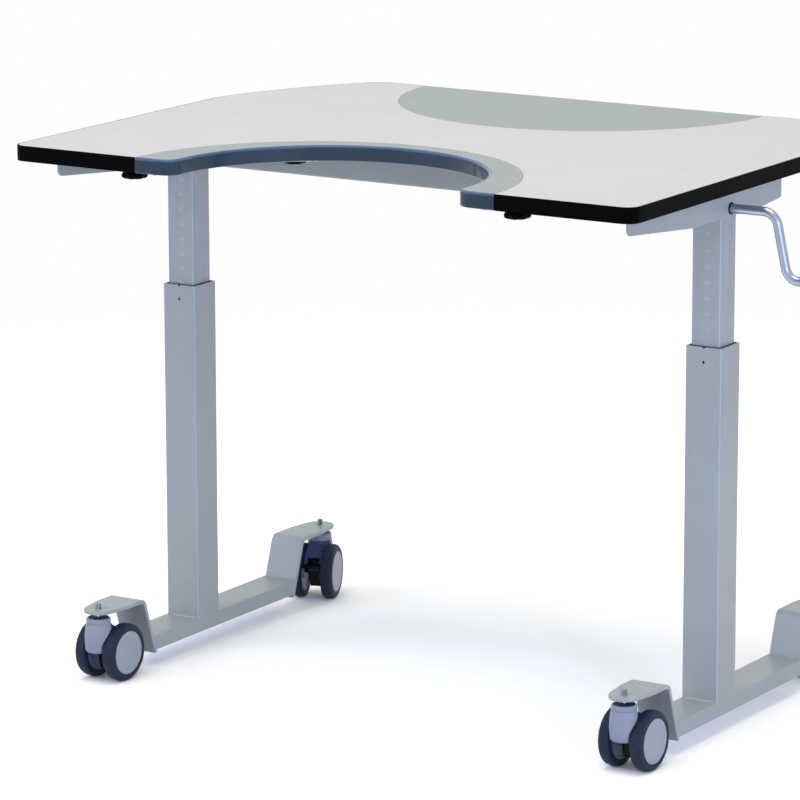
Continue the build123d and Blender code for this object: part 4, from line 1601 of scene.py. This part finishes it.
@dataclass
class Studio:
    """Pale floor, soft lamps and the camera.

    Attributes:
        azimuth_deg: how far the camera stands to the right of the front.
        pitch_deg: how far it looks down.
        roll_deg: its tilt about its own line of sight.
        distance: from the target.
        target: the point that it looks at.
        focal_px: focal length, in pixels of the picture.
        picture_px: width of the picture.
        sensor_mm: width of the camera's sensor.
        far: distance beyond which the camera sees nothing.
        sky: strength of the even light.
        sky_tint: its colour.
        boxes: two low cool lamps at the right, a cool one at the left and a warm one overhead. The small
            one gives the lacquer, the plate and the rod their highlights.
        aim: the point that the lamps look at.
        floor_mm: radii of the floor's rings.
        fibre_mm: size of the paper's clouds.
        cloud: colour of the darkest of them.
        fade: distances where the floor's shadows start to fade and are gone.
        paper: colour that the floor throws back on the table.
        floor_gain: how much brighter the floor shows than plain paper.
    """

    azimuth_deg: float = 31.720275
    pitch_deg: float = 12.395588
    roll_deg: float = -0.122781
    distance: float = 6.065151
    target: tuple[float, float, float] = (-0.145867, -0.038, 0.373686)
    focal_px: float = 4675.3077
    picture_px: float = 800.0
    sensor_mm: float = 36.0
    far: float = 200.0
    sky: float = 0.49
    sky_tint: tuple[float, float, float, float] = (0.94, 1.0, 0.97, 1.0)
    boxes: tuple[SoftBox, ...] = (
        SoftBox("key_box", 58.0, 14.0, 3.6, 2.2, 29.0, (0.5, 0.56, 1.0)),
        SoftBox("small_box", 54.0, 16.0, 3.6, 0.45, 12.0, (0.56, 0.66, 1.0)),
        SoftBox("fill_box", -50.0, 25.0, 3.6, 2.0, 28.0, (0.58, 0.63, 1.0)),
        SoftBox("top_box", 0.0, 84.0, 3.0, 2.6, 45.0, (1.0, 0.91, 0.82)),
    )
    aim: tuple[float, float, float] = (0.0, 0.0, 0.45)
    floor_mm: tuple[float, ...] = (0.0, 500.0, 1500.0, 4000.0, 12000.0, 60000.0)
    floor_steps: int = 72
    fibre_mm: float = 400.0
    cloud: tuple[float, float, float, float] = (0.97, 0.975, 0.98, 1.0)
    fade: tuple[float, float] = (1.2, 2.6)
    paper: tuple[float, float, float, float] = (0.52, 0.58, 0.7, 1.0)
    floor_gain: tuple[float, float, float] = (1.78, 1.71, 1.63)

    def make(self) -> None:
        """Build the studio."""
        self.floor()
        self.world()
        for box in self.boxes:
            box.hang(Vector(self.aim))
        self.camera()
        bpy.context.scene.view_settings.view_transform = "Standard"

    def seen(self, tree: Tree) -> Socket:
        """One for what the camera sees directly, in a reflection or through glass.

        Args:
            tree: the node tree of the floor or the world.

        Returns:
            One or zero.
        """
        path = add_node(tree, "ShaderNodeLightPath")
        value = path.outputs["Is Camera Ray"]
        for ray in ("Is Glossy Ray", "Is Transmission Ray"):
            value = add_node(
                tree, "ShaderNodeMath", {"operation": "MAXIMUM"}, {0: value, 1: path.outputs[ray]}
            ).outputs[0]
        return value

    def floor(self) -> None:
        """Lay a wide round floor of white paper under the feet."""
        mesh = bmesh.new()
        rings = [(radius, 0.0) for radius in self.floor_mm]
        turned(mesh, rings, place_at(Vector((0, 0, 0))), self.floor_steps)
        data = bpy.data.meshes.new("paper_floor")
        mesh.to_mesh(data)
        mesh.free()
        data.materials.append(self.white_paper())
        floor = add_object("paper_floor", data)
        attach(floor, "left_leg")  # the feet stand on it at every height of the top

    def white_paper(self) -> bpy.types.Material:
        """Paper that is bright enough to look white, with soft shadows near the table.

        Returns:
            The material. From below, the floor is clear, so that the table's underside can be seen.
        """
        made = bpy.data.materials.new("white_paper")
        tree = empty_tree(made)
        place = add_node(tree, "ShaderNodeTexCoord").outputs["Object"]
        settings = {"Scale": per_metre(self.fibre_mm), "Detail": 3.0}
        fibres = add_node(tree, "ShaderNodeTexNoise", settings, {"Vector": place})
        stops = {"stops": tuple(zip(DRIFT_SHARES, (WHITE, self.cloud)))}
        tint = add_node(tree, "ShaderNodeValToRGB", stops, {"Fac": fibres.outputs[0]})
        gain = {"operation": "MULTIPLY", 1: self.floor_gain}
        shown = add_node(tree, "ShaderNodeVectorMath", gain, {0: tint.outputs["Color"]})
        near = add_node(tree, "ShaderNodeBsdfDiffuse", {}, {"Color": shown.outputs[0]})
        far = add_node(tree, "ShaderNodeEmission", {"Color": WHITE, "Strength": 1.0})
        reach = add_node(tree, "ShaderNodeVectorMath", {"operation": "LENGTH"}, {0: place})
        start, end = self.fade
        fading = {"interpolation_type": "SMOOTHSTEP", "From Min": start, "From Max": end}
        fade = add_node(tree, "ShaderNodeMapRange", fading, {"Value": reach.outputs["Value"]})
        paper = add_node(tree, "ShaderNodeBsdfDiffuse", {"Color": self.paper})
        clear = add_node(tree, "ShaderNodeBsdfTransparent")
        above = add_node(tree, "ShaderNodeNewGeometry").outputs["Backfacing"]  # the sheet's faces point down
        look = far
        for share, other in ((fade.outputs["Result"], near), (self.seen(tree), paper), (above, clear)):
            shaders = {0: share, 1: other.outputs[0], 2: look.outputs[0]}
            look = add_node(tree, "ShaderNodeMixShader", {}, shaders)
        add_node(tree, "ShaderNodeOutputMaterial", {}, {"Surface": look.outputs[0]})
        return made

    def world(self) -> None:
        """Surround the table with even soft light and a white background."""
        world = bpy.data.worlds.new("white_studio")
        bpy.context.scene.world = world
        tree = empty_tree(world)
        sky = add_node(tree, "ShaderNodeBackground", {"Color": self.sky_tint, "Strength": self.sky})
        white = add_node(tree, "ShaderNodeBackground", {"Color": WHITE, "Strength": 1.0})
        shaders = {0: self.seen(tree), 1: sky.outputs[0], 2: white.outputs[0]}
        mix = add_node(tree, "ShaderNodeMixShader", {}, shaders)
        add_node(tree, "ShaderNodeOutputWorld", {}, {"Surface": mix.outputs[0]})

    def camera(self) -> None:
        """Set up the camera at the picture's angle."""
        azimuth, roll = math.radians(self.azimuth_deg), math.radians(self.roll_deg)
        back = direction(self.azimuth_deg, self.pitch_deg)
        level = Vector((math.cos(azimuth), math.sin(azimuth), 0))
        right = level * math.cos(roll) + back.cross(level) * math.sin(roll)
        lens = bpy.data.cameras.new("portrait_camera")
        lens.sensor_width = self.sensor_mm
        lens.lens = self.focal_px / self.picture_px * self.sensor_mm
        lens.clip_end = self.far
        camera = add_object("portrait_camera", lens)
        turn = Matrix((right, back.cross(right), back)).transposed().to_4x4()
        camera.matrix_world = Matrix.Translation(Vector(self.target) + back * self.distance) @ turn
        bpy.context.scene.camera = camera


def main() -> None:
    """Dress the model, add the small forms and set up the studio."""
    logging.basicConfig(level=logging.INFO, format="%(message)s")
    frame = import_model()
    shop = Shop(frame["nodes"], {joint["name"]: joint for joint in frame["joints"]}, {})
    assemblies: list[SubAssembly | Studio] = [
        TableTop(shop),
        *(HandKnob(shop, knob) for knob in Knob),
        UpperFrame(shop),
        *(HeightScale(shop, side) for side in Side),
        Crank(shop),
        *(Leg(shop, side) for side in Side),
        *(Caster(shop, corner) for corner in Corner),
        Studio(),
    ]
    for assembly in assemblies:
        assembly.make()
        LOG.info("made %s", type(assembly).__name__)


if __name__ == "__main__":
    main()
